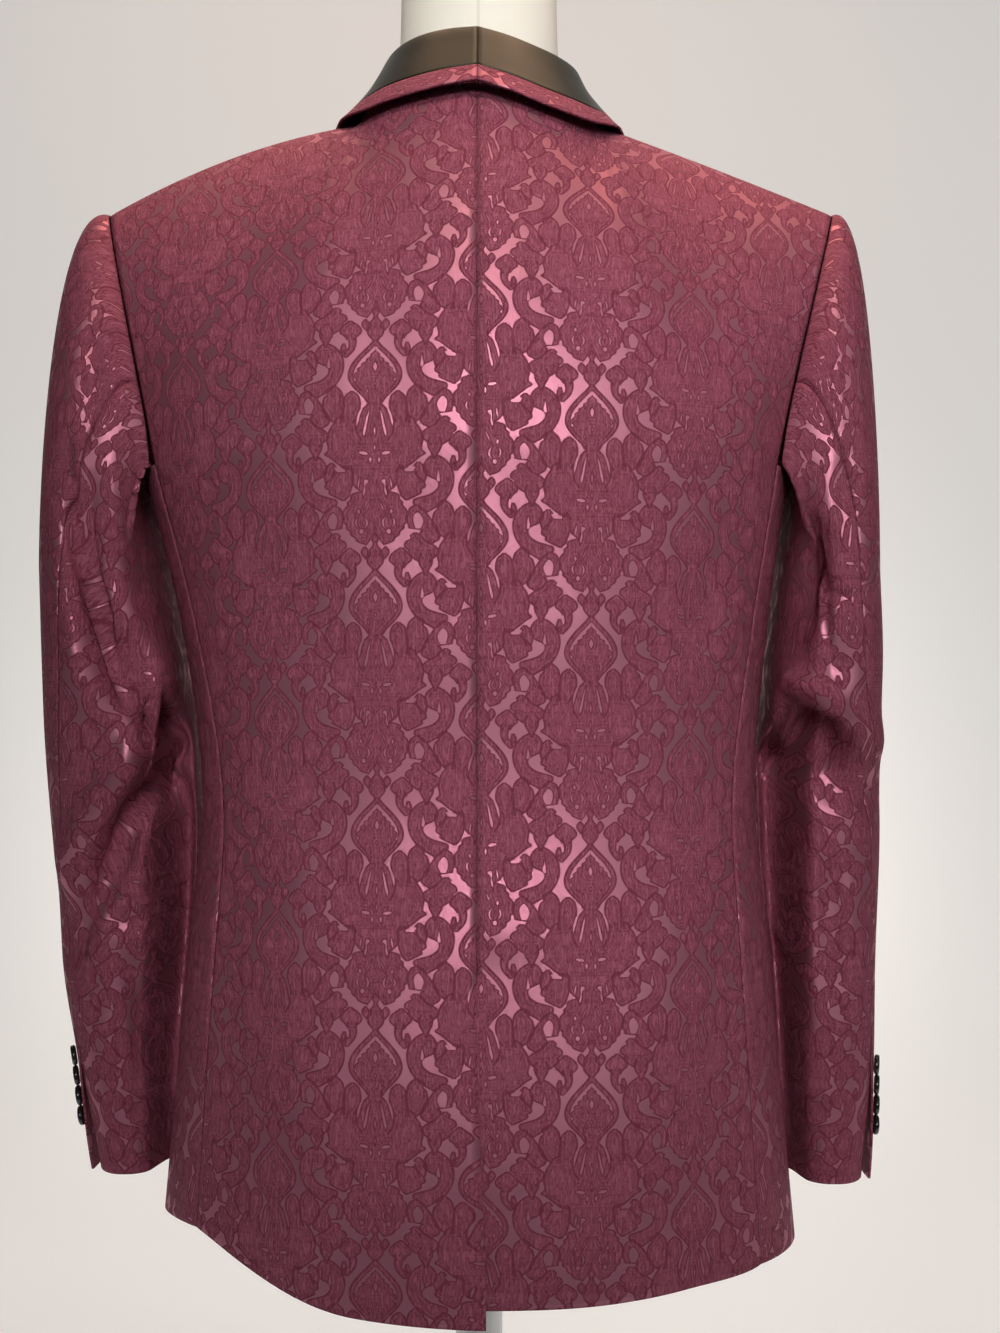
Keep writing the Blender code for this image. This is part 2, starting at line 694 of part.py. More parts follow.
def spun(outline, steps):
    """Turned form spun from its half outline of radius and height."""
    form = bmesh.new()
    spots = [form.verts.new((radius, 0.0, height)) for radius, height in outline]
    edges = [form.edges.new(pair) for pair in zip(spots, spots[1:])]
    whole = 2 * math.pi
    bmesh.ops.spin(form, geom=spots + edges, axis=(0, 0, 1), cent=(0, 0, 0), angle=whole, steps=steps)
    bmesh.ops.remove_doubles(form, verts=form.verts, dist=SEAM / 15)
    return form


def add_round(name, outline, floor, material):
    form = spun([(radius, floor + height) for radius, height in outline], TURNED_STEPS)
    add_object(name, form, material)


def add_button(name, centre, facing, radius, material):
    """Round button with a raised rim, spun from its half outline."""
    facing = Vector(facing).normalized()
    turn = Vector((0, 0, 1)).rotation_difference(facing).to_matrix().to_4x4()
    form = spun([(r * radius, h * BUTTON_THICKNESS) for r, h in BUTTON_OUTLINE], BUTTON_STEPS)
    bmesh.ops.transform(form, matrix=Matrix.Translation(Vector(centre)) @ turn, verts=form.verts)
    add_object(name, form, material)


def add_cuff_buttons(word, side, points, material):
    """Row of buttons up the cuff's vent edge, each seated just clear of the cloth."""
    edge = (points[:, -2] + points[:, -1]) / 2
    normals = grid_normals(points)[:, -2]
    normals = normals * np.sign(normals[:, :1])
    heights = edge[::-1, 2]

    def along(line, height):
        return np.array([np.interp(height, heights, line[::-1, axis]) for axis in range(3)])

    for k in range(BUTTONS_PER_CUFF):
        height = edge[-1, 2] + BUTTON_ABOVE_HEM + k * BUTTON_PITCH
        centre = along(edge, height)
        facing = along(normals, height)
        facing = facing / np.linalg.norm(facing)
        levels = (height - BUTTON_RADIUS, height, height + BUTTON_RADIUS)
        near = [along(points[:, column], level) for column in (-3, -2, -1) for level in levels]
        rise = max(float((spot - centre) @ facing) for spot in near)
        centre = centre + facing * (max(rise, 0.0) + SEAM)
        if side < 0:
            centre, facing = flip(centre), flip(facing)
        add_button(f"cuff_button_{word}_{k + 1}", centre, facing, BUTTON_RADIUS, material)


def back_collar_section(share, side, steps):
    """Collar section behind the neck, from the foot of the stand, over the roll, to the outer edge."""
    def back(u, way):
        return back_surface(u, way, side)

    table = SHAWL_BACK_RIGHT if side > 0 else SHAWL_BACK_LEFT
    turn = share * math.pi / 2
    inward = np.array([-math.sin(turn), math.cos(turn), 0.0])
    upward = np.array([0.0, 0.0, 1.0])
    seam = neck_seam(share)
    foot = seam + upward * 3 * SEAM + inward * COLLAR_WALL
    roll = seam + inward * follow(table, 2, share) + upward * follow(table, 1, share)
    u = NECK_SHARE * share + SHAWL_SPREAD * smooth((share - SHAWL_SPREAD_FROM) / (1.0 - SHAWL_SPREAD_FROM))
    way = 2.0 - follow(table, 3, share) / (NECK_BACK[2] - HEM - UNDERARM)
    edge = back(u, way) + surface_normal(back, u, min(way, 1.99)) * follow(table, 4, share)
    shoulder = roll - inward * ROLL_RADIUS - upward * ROLL_RADIUS
    points = [foot, (foot + roll) / 2 + inward * ROLL_RADIUS, roll + (inward - upward) * ROLL_RADIUS, roll]
    points += [shoulder + (edge - shoulder) * q for q in steps]
    return points


def front_collar_section(share, side, steps):
    """Lapel section on the front, made from the front's own points, moved out."""
    def front(u, way):
        return front_surface(u, way, side)

    way = 2.0 + (LAPEL_END / UNDERARM - 2.0) * share
    row = np.array([front(1.0 + k / 12, way) for k in range(13)])
    length = float(np.sum(np.linalg.norm(np.diff(row, axis=0), axis=1)))
    seam = front(2.0, way)
    across = seam - front(1.96, way)
    across = across / np.linalg.norm(across)
    lean = NECKWARD + (across - NECKWARD) * smooth(share / NECKWARD_FADE)
    stand = lean / np.linalg.norm(lean) * follow(SHAWL_FRONT, 1, share)
    outward = surface_normal(front, 1.99, min(way, 1.99))
    width = follow(SHAWL_FRONT, 2, share)
    foot = seam + stand / np.linalg.norm(stand) * 3 * SEAM
    foot = foot - outward * WALL / 2 * smooth(share / SHOULDER_FADE)
    roll = seam + stand + outward * SHAWL_LIFT
    points = [foot, (foot + roll) / 2 - outward * ROLL_RADIUS / 3, roll - outward * ROLL_RADIUS, roll]
    for q in steps:
        reach = ROLL_START + (1.0 - ROLL_START) * q
        u = max(2.0 - reach * width / length, 1.0)
        lift = SHAWL_LIFT + ROLL_SWELL * math.sin(math.pi * q) ** 2
        lift += SHOULDER_LIFT * (1.0 - smooth(share / SHOULDER_FADE))
        spot = front(u, way) + surface_normal(front, min(u, 1.99), min(way, 1.99)) * lift
        points.append(spot + stand * (1.0 - reach) ** 2)
    return points


def fall_steps(width):
    """Places across the fall: four on the satin, up to the trim's seam, then two on the trim."""
    seam = 1.0 - min(TRIM_WIDTH, width / 2) / width
    return [0.0, 0.36 * seam, 0.72 * seam, seam, (1.0 + seam) / 2, 1.0]


def build_shawl(satin, cloth):
    """Satin shawl collar and its cloth edge, one half on each side of the centre back seam."""
    back_ways = np.linspace(0.0, 1.0, SHAWL_BACK_ROWS)
    for side, word in ((-1, "left"), (1, "right")):
        rows = [back_collar_section(share, side, fall_steps(COLLAR_FALL)) for share in back_ways]
        for share in SHAWL_ROWS:
            width = follow(SHAWL_FRONT, 2, share)
            rows.append(front_collar_section(share, side, fall_steps(width)))
        points = np.array(rows)
        points[0, :, 0] = SEAM / 2
        normals = grid_normals(points)
        normals[0, :, 0] = 0.0
        normals = normals / np.linalg.norm(normals, axis=2)[:, :, None]
        band = points[:, -1] - points[:, -3]
        band = band / np.linalg.norm(band, axis=1)[:, None]
        keep = np.ones((points.shape[0] - 1, points.shape[1] - 3), dtype=bool)
        for k, share in enumerate(SHAWL_ROWS):
            if follow(SHAWL_FRONT, 1, share) < STAND_LEAST:
                keep[len(back_ways) + k - 1, :3] = False
        leaf = points[:, :-2].copy()
        leaf[:, -1] -= band * SEAM
        trim = points[:, -3:].copy()
        trim[:, 0] += band * SEAM
        add_wall(f"shawl_{word}", leaf, normals[:, :-2], COLLAR_WALL, satin, side < 0, keep)
        add_wall(f"trim_{word}", trim, normals[:, -3:], COLLAR_WALL, cloth, side < 0)


def build_form(jersey, metal):
    """Limbless torso with its neck, then the post and the round base."""
    line = np.array([shoulder_seam(k / 40, 1) for k in range(41)])[::-1]
    shoulder = []
    for drop, gap, behind, before, squareness in FORM_SHOULDER:
        height = NECK_SIDE[2] - drop
        half = float(np.interp(height, line[:, 2], line[:, 0])) - gap
        shoulder.append((height - WALL - FORM_REST, half, behind, before, squareness))
    form = bmesh.new()
    loops = []
    for height, half, behind, before, squareness in [*FORM_SECTIONS, *shoulder, *FORM_NECK]:
        loop = []
        for k in range(FORM_STEPS):
            turn = 2 * math.pi * k / FORM_STEPS
            c = signed_power(math.cos(turn), 2.0 / squareness)
            s = signed_power(math.sin(turn), 2.0 / squareness)
            loop.append(form.verts.new((half * s, (before if c < 0 else behind) * -c, height)))
        loops.append(loop)
    for low, high in zip(loops, loops[1:]):
        for k in range(FORM_STEPS):
            after = (k + 1) % FORM_STEPS
            form.faces.new([low[k], low[after], high[after], high[k]])
    form.faces.new(loops[0])
    form.faces.new(loops[-1])
    add_object("dress_form", form, jersey)
    add_round("post", POST_OUTLINE, BASE_THICKNESS + SEAM, metal)
    add_round("base", BASE_OUTLINE, 0.0, metal)


def add_front_button(material):
    """The one button that closes the fronts, on the left front."""
    spot = body_section(180.0, BUTTON_LEVEL, -1)
    spot[1] += 3 * SEAM
    add_button("front_button", spot, (0.0, 1.0, 0.0), FRONT_BUTTON_RADIUS, material)


clear_scene()
damask = make_material("damask", (0.20, 0.035, 0.06), 0.5)
satin = make_material("satin", (0.012, 0.012, 0.010), 0.35)
gloss = make_material("button_black", (0.01, 0.01, 0.01), 0.15)
jersey = make_material("jersey", (0.85, 0.84, 0.82), 0.9)
steel = make_material("stand_metal", (0.70, 0.70, 0.70), 0.35, 0.8)
build_backs(damask)
build_fronts(damask)
build_sleeves(damask, gloss)
build_shawl(satin, damask)
add_front_button(gloss)
build_form(jersey, steel)
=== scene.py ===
"""Damask dinner jacket with a satin shawl collar on a dress form, seen from behind."""
import math

import bmesh
import bpy
import numpy as np
from mathutils import Matrix, Vector


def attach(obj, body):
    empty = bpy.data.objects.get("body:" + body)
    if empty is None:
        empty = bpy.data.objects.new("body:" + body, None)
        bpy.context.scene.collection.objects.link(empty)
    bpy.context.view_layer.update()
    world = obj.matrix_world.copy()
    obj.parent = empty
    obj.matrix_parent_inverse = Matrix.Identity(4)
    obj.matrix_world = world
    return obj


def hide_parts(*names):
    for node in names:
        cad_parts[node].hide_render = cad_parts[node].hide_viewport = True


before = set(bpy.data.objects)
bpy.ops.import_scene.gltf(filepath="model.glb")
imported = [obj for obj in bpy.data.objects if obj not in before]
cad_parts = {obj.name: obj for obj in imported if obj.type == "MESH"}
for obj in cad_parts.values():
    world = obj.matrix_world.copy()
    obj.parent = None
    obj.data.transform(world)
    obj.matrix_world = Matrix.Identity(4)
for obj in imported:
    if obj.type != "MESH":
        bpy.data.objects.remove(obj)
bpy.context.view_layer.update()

# The two sides of the jacket: direction along x, name
SIDES = ((-1, "left"), (1, "right"))

# Wall and seam sizes
WALL = 0.0018
SLEEVE_WALL = 0.0016
COLLAR_WALL = 0.0014
SEAM = 0.0003
ARMHOLE_GAP = 0.0008
UNDERARM_GAP = 0.0024
SEAM_SINK = 0.0003
SEAM_SOFT = 0.0022
SEAM_SHOWN = 0.00006
# Places nearer than this are one point
WELD = 0.00001

# Steps of the cloth's grids
ROWS_BELOW = 150
ROWS_ABOVE = 84
BACK_COLUMNS = 76
LAP_COLUMNS = 12
FLANK_COLUMNS = 32
FRONT_COLUMNS = 60
HEAD_ROWS = 56
TUBE_ROWS = 190
SLEEVE_COLUMNS = {"top_sleeve": 76, "under_sleeve": 60}

# Inner side of the sleeves below the elbow: how far forward it is tucked, where that starts across
# the sleeve and up it, and over what distance it deepens
INNER_TUCK = 0.044
INNER_RIDGE = 0.224
INNER_REACH = 0.018
INNER_TUCK_FROM = 0.545
INNER_TUCK_RISE = 0.05

# Body of the jacket
HEM = 0.165
UNDERARM = 0.525
SECTION_POWER = 2.35
ARMHOLE_FRONT_ANGLE = 118.0
UNDERARM_DIP = 0.016
HEM_RISE = 0.016
LEFT_HEM_LIFT = 0.024
LEFT_HEM_DROP = 0.005
FRONT_CORNER_LIFT = 0.038
FRONT_CORNER_REACH = 0.34
HEM_CURVE = 1.6
LEFT_LIFT_FROM = 0.30
LEFT_DROP_REACH = 0.70
RIGHT_HEM_LIFT = 0.0045
RIGHT_LIFT_TO = 0.60

# Shoulder and neck points: x, y, z
NECK_BACK = np.array([0.0, -0.068, 0.943])
NECK_SIDE = np.array([0.078, -0.005, 0.930])
SHOULDER_TIPS = {1: np.array([0.241, 0.000, 0.869]), -1: np.array([0.252, 0.000, 0.869])}
SHOULDER_ARCHES = {1: 0.001, -1: 0.009}
NECK_SHARE = 0.36

# How the panels leave the underarm line and arrive at the top: pulls along x, y, z
BACK_LEAVE_MIDDLE = np.array([0.0, -0.010, 0.260])
BACK_LEAVE_SIDE = np.array([0.030, 0.0, 0.170])
BACK_ARRIVE_NECK = np.array([0.0, 0.115, 0.165])
BACK_ARRIVE_SHOULDER = np.array([0.015, 0.115, 0.025])
BACK_ARRIVE_FROM = 0.10
BACK_ARRIVE_REACH = 0.60
NECK_FULLNESS = 0.130
NECK_FULLNESS_AT = 0.38
NECK_FULLNESS_SPREAD = 0.17
NECK_EASE_REACH = 0.26
NECK_EASE_END = 0.86
# Shifts along the neck and shoulder seams, and their weights in the mean that bridges the corner
NECK_EASE_STEPS = ((-0.15, 1), (-0.10, 2), (-0.05, 3), (0.0, 4), (0.05, 3), (0.10, 2), (0.15, 1))
FRONT_LEAVE_ARM = np.array([-0.020, 0.0, 0.170])
FRONT_LEAVE_NECK = np.array([0.025, 0.0, 0.220])
FRONT_ARRIVE_ARM = np.array([0.030, -0.120, 0.020])
FRONT_ARRIVE_NECK = np.array([0.010, -0.120, 0.080])

# Centre vent
VENT_LENGTH = 0.235
VENT_RAMP = 0.030
UNDERLAP_WIDTH = 0.036
UNDERLAP_DEPTH = 0.0027
UNDERLAP_FADE = 0.085
UNDERLAP_SHARE = 0.24
OVERLAP_AT_HEM = 0.006
LAP_PROUD = 0.0032
LAP_PROUD_FADE = 0.030
LAP_PROUD_RISE = 0.12

# Front opening
LAPEL_END = 0.388
FRONT_LAP_DEPTH = 0.0027
FRONT_LAP_FROM = 0.004
FRONT_LAP_FADE = 0.070

# Cuffs
CUFF_VENT = 0.105
CUFF_FLARE = 0.0060
FLARE_FROM = 0.35
FLARE_POWER = 1.8

# Body sections: height above the hem, half width right and left, depth behind, depth in front,
# side seam angle
BODY_SECTIONS = np.array([
    (0.000, 0.215, 0.215, 0.129, 0.128, 55.0),
    (0.105, 0.205, 0.205, 0.135, 0.131, 56.0),
    (0.210, 0.196, 0.196, 0.129, 0.128, 57.0),
    (0.305, 0.187, 0.187, 0.120, 0.124, 59.0),
    (0.420, 0.195, 0.200, 0.131, 0.133, 63.0),
    (0.525, 0.209, 0.225, 0.139, 0.139, 66.0),
])

# Front edge: height above the hem, distance from the middle towards the wearer's own side
FRONT_EDGE = np.array([
    (0.000, 0.048),
    (0.050, 0.026),
    (0.110, 0.008),
    (0.190, -0.008),
    (0.285, -0.016),
    (0.345, -0.012),
    (0.388, 0.003),
    (0.525, 0.046),
])

# Sleeve sections: height above the hem, inner side, outer side, back, front, hind seam angle
RIGHT_SLEEVE = np.array([
    (0.460, 0.2055, 0.2675, -0.078, 0.078, 80.0),
    (0.400, 0.1980, 0.2705, -0.077, 0.084, 72.0),
    (0.362, 0.1945, 0.2720, -0.066, 0.092, 64.0),
    (0.330, 0.1930, 0.2770, -0.038, 0.100, 57.0),
    (0.275, 0.1945, 0.2785, -0.030, 0.104, 52.0),
    (0.195, 0.2010, 0.2760, -0.026, 0.104, 46.0),
    (0.115, 0.2075, 0.2745, -0.022, 0.102, 43.0),
    (0.046, 0.2130, 0.2675, -0.018, 0.100, 42.0),
])
LEFT_SLEEVE = np.array([
    (0.460, 0.2140, 0.2920, -0.080, 0.072, 76.0),
    (0.400, 0.2020, 0.2910, -0.081, 0.078, 68.0),
    (0.345, 0.1950, 0.2925, -0.070, 0.090, 60.0),
    (0.295, 0.1935, 0.2937, -0.050, 0.098, 54.0),
    (0.245, 0.1965, 0.2914, -0.036, 0.102, 48.0),
    (0.185, 0.2015, 0.2885, -0.030, 0.102, 44.0),
    (0.115, 0.2075, 0.2758, -0.026, 0.100, 42.0),
    (0.054, 0.2130, 0.2630, -0.022, 0.096, 41.0),
])
HEAD_FULLNESS = (0.14, 0.02)
HEAD_OUT = 0.30
HEAD_BACK = 0.35
HEAD_UP = 0.65
HEAD_DOWN = 0.50
HEAD_HANG = 1.10
ARMHOLE_BACK_END = 0.37
ARMHOLE_FRONT_START = 0.62
UNDERARM_TOP = 0.35
UNDERARM_BLEND = 0.25
HIND_SEAM_START = 98.0
FORE_SEAM_ANGLE = 232.0
SLEEVE_POWER = 2.5
FOLD_END_SPREAD = 20.0
FOLDS_FROM = 0.80

# Folds of the sleeves: angle and height at each end, half width, depth (out is positive)
RIGHT_FOLDS = np.array([
    (140.0, 0.375, 55.0, 0.345, 0.017, 0.0070),
    (140.0, 0.335, 58.0, 0.308, 0.014, -0.0060),
    (120.0, 0.470, 100.0, 0.400, 0.022, -0.0040),
])
LEFT_FOLDS = np.array([
    (140.0, 0.390, 62.0, 0.265, 0.019, 0.0075),
    (140.0, 0.350, 66.0, 0.210, 0.017, -0.0070),
    (75.0, 0.520, 110.0, 0.400, 0.020, -0.0045),
])

# Shawl collar round the back neck: way to the neck side, stand height, inward lean, drop of the
# outer edge below the seam, stand-off of that edge from the cloth
SHAWL_BACK_LEFT = np.array([
    (0.00, 0.0300, 0.004, 0.028, 0.0130),
    (0.35, 0.0300, 0.007, 0.032, 0.0100),
    (0.70, 0.0295, 0.012, 0.028, 0.0085),
    (1.00, 0.0290, 0.015, 0.016, 0.0085),
])
SHAWL_BACK_RIGHT = np.array([
    (0.00, 0.0300, 0.004, 0.028, 0.0130),
    (0.35, 0.0215, 0.004, 0.042, 0.0100),
    (0.70, 0.0205, 0.006, 0.044, 0.0100),
    (1.00, 0.0225, 0.009, 0.032, 0.0095),
])
# Shawl collar down the front: way to the lapel's end, stand height, width
SHAWL_FRONT = np.array([
    (0.00, 0.0330, 0.017),
    (0.12, 0.0250, 0.035),
    (0.30, 0.0110, 0.066),
    (0.50, 0.0030, 0.080),
    (0.75, 0.0010, 0.062),
    (0.92, 0.0010, 0.036),
    (1.00, 0.0010, 0.022),
])
SHAWL_SPREAD = 0.055
SHAWL_SPREAD_FROM = 0.35
SHAWL_LIFT = 0.0040
SHOULDER_LIFT = 0.0040
STAND_LEAST = 0.006
TRIM_WIDTH = 0.011
COLLAR_FALL = 0.038
ROLL_RADIUS = 0.0030
ROLL_START = 0.03
ROLL_SWELL = 0.0012
NECKWARD = np.array([-0.42, 0.08, 0.90])
NECKWARD_FADE = 0.40
SHOULDER_FADE = 0.20
# Collar sections behind the neck, and ways down the lapel of those in front
NECK_SECTIONS = 7
LAPEL_WAYS = np.array([0.0, 0.04, 0.10, 0.20, 0.32, 0.45, 0.60, 0.74, 0.87, 1.0])
# Columns of a section: the stand's, one on the fall, and the trim's seam
STAND_COLUMNS = 3
FALL_COLUMN = 6
TRIM_COLUMN = 7
# Finer steps between sections and between columns
SECTION_STEPS = 6
COLUMN_STEPS = 5
# Sections that are rounded where the collar turns over the shoulder, and how often
TURN_SECTIONS = (5, 9)
TURN_ROUNDS = 2

# Damask: distance between columns of figures, height of one repeat, both in millimetres
COLUMN = 67.0
REPEAT = 139.0
# How far the woven figure spreads past its chart, and where its second line runs, in millimetres
FIGURE_GROWTH = 0.4
INNER_LINE = 2.4
# Soft widths of the figure's edge, its outline and its second line, in millimetres
FIGURE_EDGE = (-0.2, 0.25)
OUTLINE_WITHIN = (-0.1, 0.3)
OUTLINE_WIDTH = (0.3, 1.05)
INNER_WIDTH = (0.15, 0.5)
INNER_WEIGHT = 0.6
# Where the first figure's tip lies on the left and right back: out from the centre back, height
CLOTH_FROM = {-1: np.array([0.061, 0.6185]), 1: np.array([0.070, 0.5903])}


def smooth(value):
    value = np.clip(value, 0.0, 1.0)
    return value * value * (3.0 - 2.0 * value)


def follow(table, column, value):
    """Smooth curve through one column of a table, over its first column."""
    keys = table[:, 0]
    marks = table[:, column]
    if keys[0] > keys[-1]:
        keys = keys[::-1]
        marks = marks[::-1]
    value = np.clip(value, keys[0], keys[-1])
    slopes = np.gradient(marks, keys)
    k = np.clip(np.searchsorted(keys, value, side="right") - 1, 0, len(keys) - 2)
    span = keys[k + 1] - keys[k]
    t = (value - keys[k]) / span
    a = (1 + 2 * t) * (1 - t) ** 2 * marks[k] + t * (1 - t) ** 2 * span * slopes[k]
    b = t * t * (3 - 2 * t) * marks[k + 1] + t * t * (t - 1) * span * slopes[k + 1]
    return a + b


def hermite(start, start_pull, end, end_pull, t):
    """Curve from start to end that leaves and arrives along the two pulls."""
    t = t[..., None]
    a = (1 + 2 * t) * (1 - t) ** 2 * start + t * (1 - t) ** 2 * start_pull
    return a + t * t * (3 - 2 * t) * end + t * t * (t - 1) * end_pull


def blend(first, second, share):
    return first + (second - first) * np.asarray(share)[..., None]


def signed_power(value, power):
    return np.sign(value) * np.abs(value) ** power


def points_of(x, y, z):
    return np.stack(np.broadcast_arrays(x, y, z), axis=-1).astype(float)


def unit(vectors):
    return vectors / np.maximum(np.linalg.norm(vectors, axis=-1), 1e-12)[..., None]


def half_width(height, side):
    return follow(BODY_SECTIONS, 1 if side > 0 else 2, height)


def body_section(angle, height, side):
    """Points on the jacket's body; angle 0 is the centre back, 180 the centre front."""
    turn = np.radians(angle)
    half = half_width(height, side)
    behind = np.cos(turn) > 0
    depth = np.where(behind, follow(BODY_SECTIONS, 3, height), follow(BODY_SECTIONS, 4, height))
    c = signed_power(np.cos(turn), 2.0 / SECTION_POWER)
    s = signed_power(np.sin(turn), 2.0 / SECTION_POWER)
    return points_of(half * s, -depth * c, HEM + height)


def underarm_dip(angle):
    start = BODY_SECTIONS[-1, 5]
    share = np.clip((angle - start) / (ARMHOLE_FRONT_ANGLE - start), 0.0, 1.0)
    return UNDERARM_DIP * np.sin(np.pi * share) ** 2


def lower_body(angle, way, hem_lift, side):
    """Body below the underarm; way runs from 0 at the hem to 1 at the underarm."""
    high = UNDERARM - underarm_dip(angle)
    return body_section(angle, hem_lift + (high - hem_lift) * way, side)


def shoulder_seam(share, side):
    """Shoulder seam from the neck side (0) to the shoulder tip (1)."""
    share = np.asarray(share, dtype=float)
    point = blend(NECK_SIDE, SHOULDER_TIPS[side], share)
    point[..., 2] += SHOULDER_ARCHES[side] * 4.0 * share * (1.0 - share)
    return point


def neck_seam(share):
    """Back neck seam from the centre back (0) to the neck side (1)."""
    turn = share * np.pi / 2
    x = NECK_SIDE[0] * np.sin(turn)
    y = NECK_SIDE[1] + (NECK_BACK[1] - NECK_SIDE[1]) * np.cos(turn)
    z = NECK_BACK[2] + (NECK_SIDE[2] - NECK_BACK[2]) * share * share
    return points_of(x, y, z)


def back_top(u, side):
    neck = neck_seam(np.minimum(u / NECK_SHARE, 1.0))
    shoulder = shoulder_seam(np.maximum((u - NECK_SHARE) / (1.0 - NECK_SHARE), 0.0), side)
    return np.where((u < NECK_SHARE)[..., None], neck, shoulder)


def side_angle(height):
    return follow(BODY_SECTIONS, 5, height)


def neck_ease(u, rise, side):
    """How far the cloth bridges the corner between neck and shoulder, below the collar."""
    whole = sum(weight for shift, weight in NECK_EASE_STEPS)
    eased = 0.0
    for shift, weight in NECK_EASE_STEPS:
        eased = eased + back_top(np.clip(u + shift, 0.0, 1.0), side) * weight / whole
    near = smooth(1.0 - np.abs(u - NECK_SHARE) / NECK_EASE_REACH)
    ending = smooth((rise - NECK_EASE_END) / (1.0 - NECK_EASE_END))
    share = near * smooth(rise) * (1.0 - ending)
    return (eased - back_top(u, side)) * share[..., None]


def back_surface(u, way, side):
    """Back half; u runs from the centre back to the side, way 0-1 below and 1-2 above the underarm."""
    u, way = np.broadcast_arrays(np.asarray(u, dtype=float), np.asarray(way, dtype=float))
    mirror = np.where(u < 0, -1.0, 1.0)
    u = np.abs(u)
    lift = HEM_RISE * u ** HEM_CURVE
    if side < 0:
        lift = lift + LEFT_HEM_LIFT * smooth((u - LEFT_LIFT_FROM) / (1.0 - LEFT_LIFT_FROM))
        lift = lift - LEFT_HEM_DROP * (1.0 - smooth(u / LEFT_DROP_REACH))
    else:
        lift = lift + RIGHT_HEM_LIFT * (1.0 - smooth((u - RIGHT_LIFT_TO) / (1.0 - RIGHT_LIFT_TO)))
    low_way = np.minimum(way, 1.0)
    below = lower_body(u * side_angle(UNDERARM * low_way), low_way, lift, side)
    base = body_section(u * side_angle(UNDERARM), UNDERARM, side)
    leave = blend(BACK_LEAVE_MIDDLE, BACK_LEAVE_SIDE, u)
    share = smooth((u - BACK_ARRIVE_FROM) / BACK_ARRIVE_REACH)
    arrive = blend(BACK_ARRIVE_NECK, BACK_ARRIVE_SHOULDER, share)
    arrive[..., 1] += NECK_FULLNESS * np.exp(-((u - NECK_FULLNESS_AT) / NECK_FULLNESS_SPREAD) ** 2)
    rise = np.maximum(way - 1.0, 0.0)
    above = hermite(base, leave, back_top(u, side), arrive, rise) + neck_ease(u, rise, side)
    point = np.where((way <= 1.0)[..., None], below, above)
    point[..., 0] *= mirror
    return point


def front_angle(height, side):
    share = follow(FRONT_EDGE, 1, height) / half_width(height, side)
    return 180.0 - np.degrees(np.arcsin(signed_power(share, SECTION_POWER / 2.0)))


def front_surface(u, way, side):
    """Front half; u 0-1 runs from the side seam to below the armhole's front, 1-2 on to the front edge."""
    u, way = np.broadcast_arrays(np.asarray(u, dtype=float), np.asarray(way, dtype=float))
    low_way = np.minimum(way, 1.0)
    height = UNDERARM * low_way
    start = side_angle(height)
    near = start + (ARMHOLE_FRONT_ANGLE - start) * u
    far = ARMHOLE_FRONT_ANGLE + (front_angle(height, side) - ARMHOLE_FRONT_ANGLE) * (u - 1.0)
    reach = np.clip((u - 2.0 + FRONT_CORNER_REACH) / FRONT_CORNER_REACH, 0.0, 1.0)
    lift = FRONT_CORNER_LIFT * (1.0 - np.sqrt(1.0 - reach ** 2))
    lift = lift + HEM_RISE * (1.0 - 0.5 * smooth(u / HEM_CURVE))
    if side < 0:
        lift = lift + LEFT_HEM_LIFT * (1.0 - smooth(u / HEM_CURVE))
    below = lower_body(np.where(u <= 1.0, near, far), low_way, lift, side)
    share = np.maximum(u - 1.0, 0.0)
    angle = ARMHOLE_FRONT_ANGLE + (front_angle(UNDERARM, side) - ARMHOLE_FRONT_ANGLE) * share
    base = body_section(angle, UNDERARM, side)
    leave = blend(FRONT_LEAVE_ARM, FRONT_LEAVE_NECK, share)
    arrive = blend(FRONT_ARRIVE_ARM, FRONT_ARRIVE_NECK, share)
    above = hermite(base, leave, shoulder_seam(1.0 - share, side), arrive, np.maximum(way - 1.0, 0.0))
    return np.where((way <= 1.0)[..., None], below, above)


def surface_normal(surface, u, way, step=0.004):
    """Outward normal of a surface, from points on both sides where the surface goes on."""
    across = surface(u + step, way) - surface(u - step, way)
    up = surface(u, np.minimum(way + step, 2.0)) - surface(u, np.maximum(way - step, 0.0))
    return unit(np.cross(across, up))


def armhole(share, side):
    """Armhole seam from the shoulder tip (0), down the back, under the arm and up the front (1)."""
    back = back_surface(1.0, np.clip(2.0 - share / ARMHOLE_BACK_END, 1.0, 2.0), side)
    under = (share - ARMHOLE_BACK_END) / (ARMHOLE_FRONT_START - ARMHOLE_BACK_END)
    under = front_surface(np.clip(under, 0.0, 1.0), 1.0, side)
    up = 1.0 + (share - ARMHOLE_FRONT_START) / (1.0 - ARMHOLE_FRONT_START)
    front = front_surface(1.0, np.clip(up, 1.0, 2.0), side)
    low = np.where((share < ARMHOLE_FRONT_START)[..., None], under, front)
    return np.where((share < ARMHOLE_BACK_END)[..., None], back, low)


def sleeve_section(table, angle, height):
    inner = follow(table, 1, height)
    outer = follow(table, 2, height)
    back = follow(table, 3, height)
    front = follow(table, 4, height)
    c = signed_power(np.cos(np.radians(angle)), 2.0 / SLEEVE_POWER)
    s = signed_power(np.sin(np.radians(angle)), 2.0 / SLEEVE_POWER)
    x = (inner + outer) / 2 + (outer - inner) / 2 * c
    y = (back + front) / 2 - (front - back) / 2 * s
    return points_of(x, y, HEM + height)


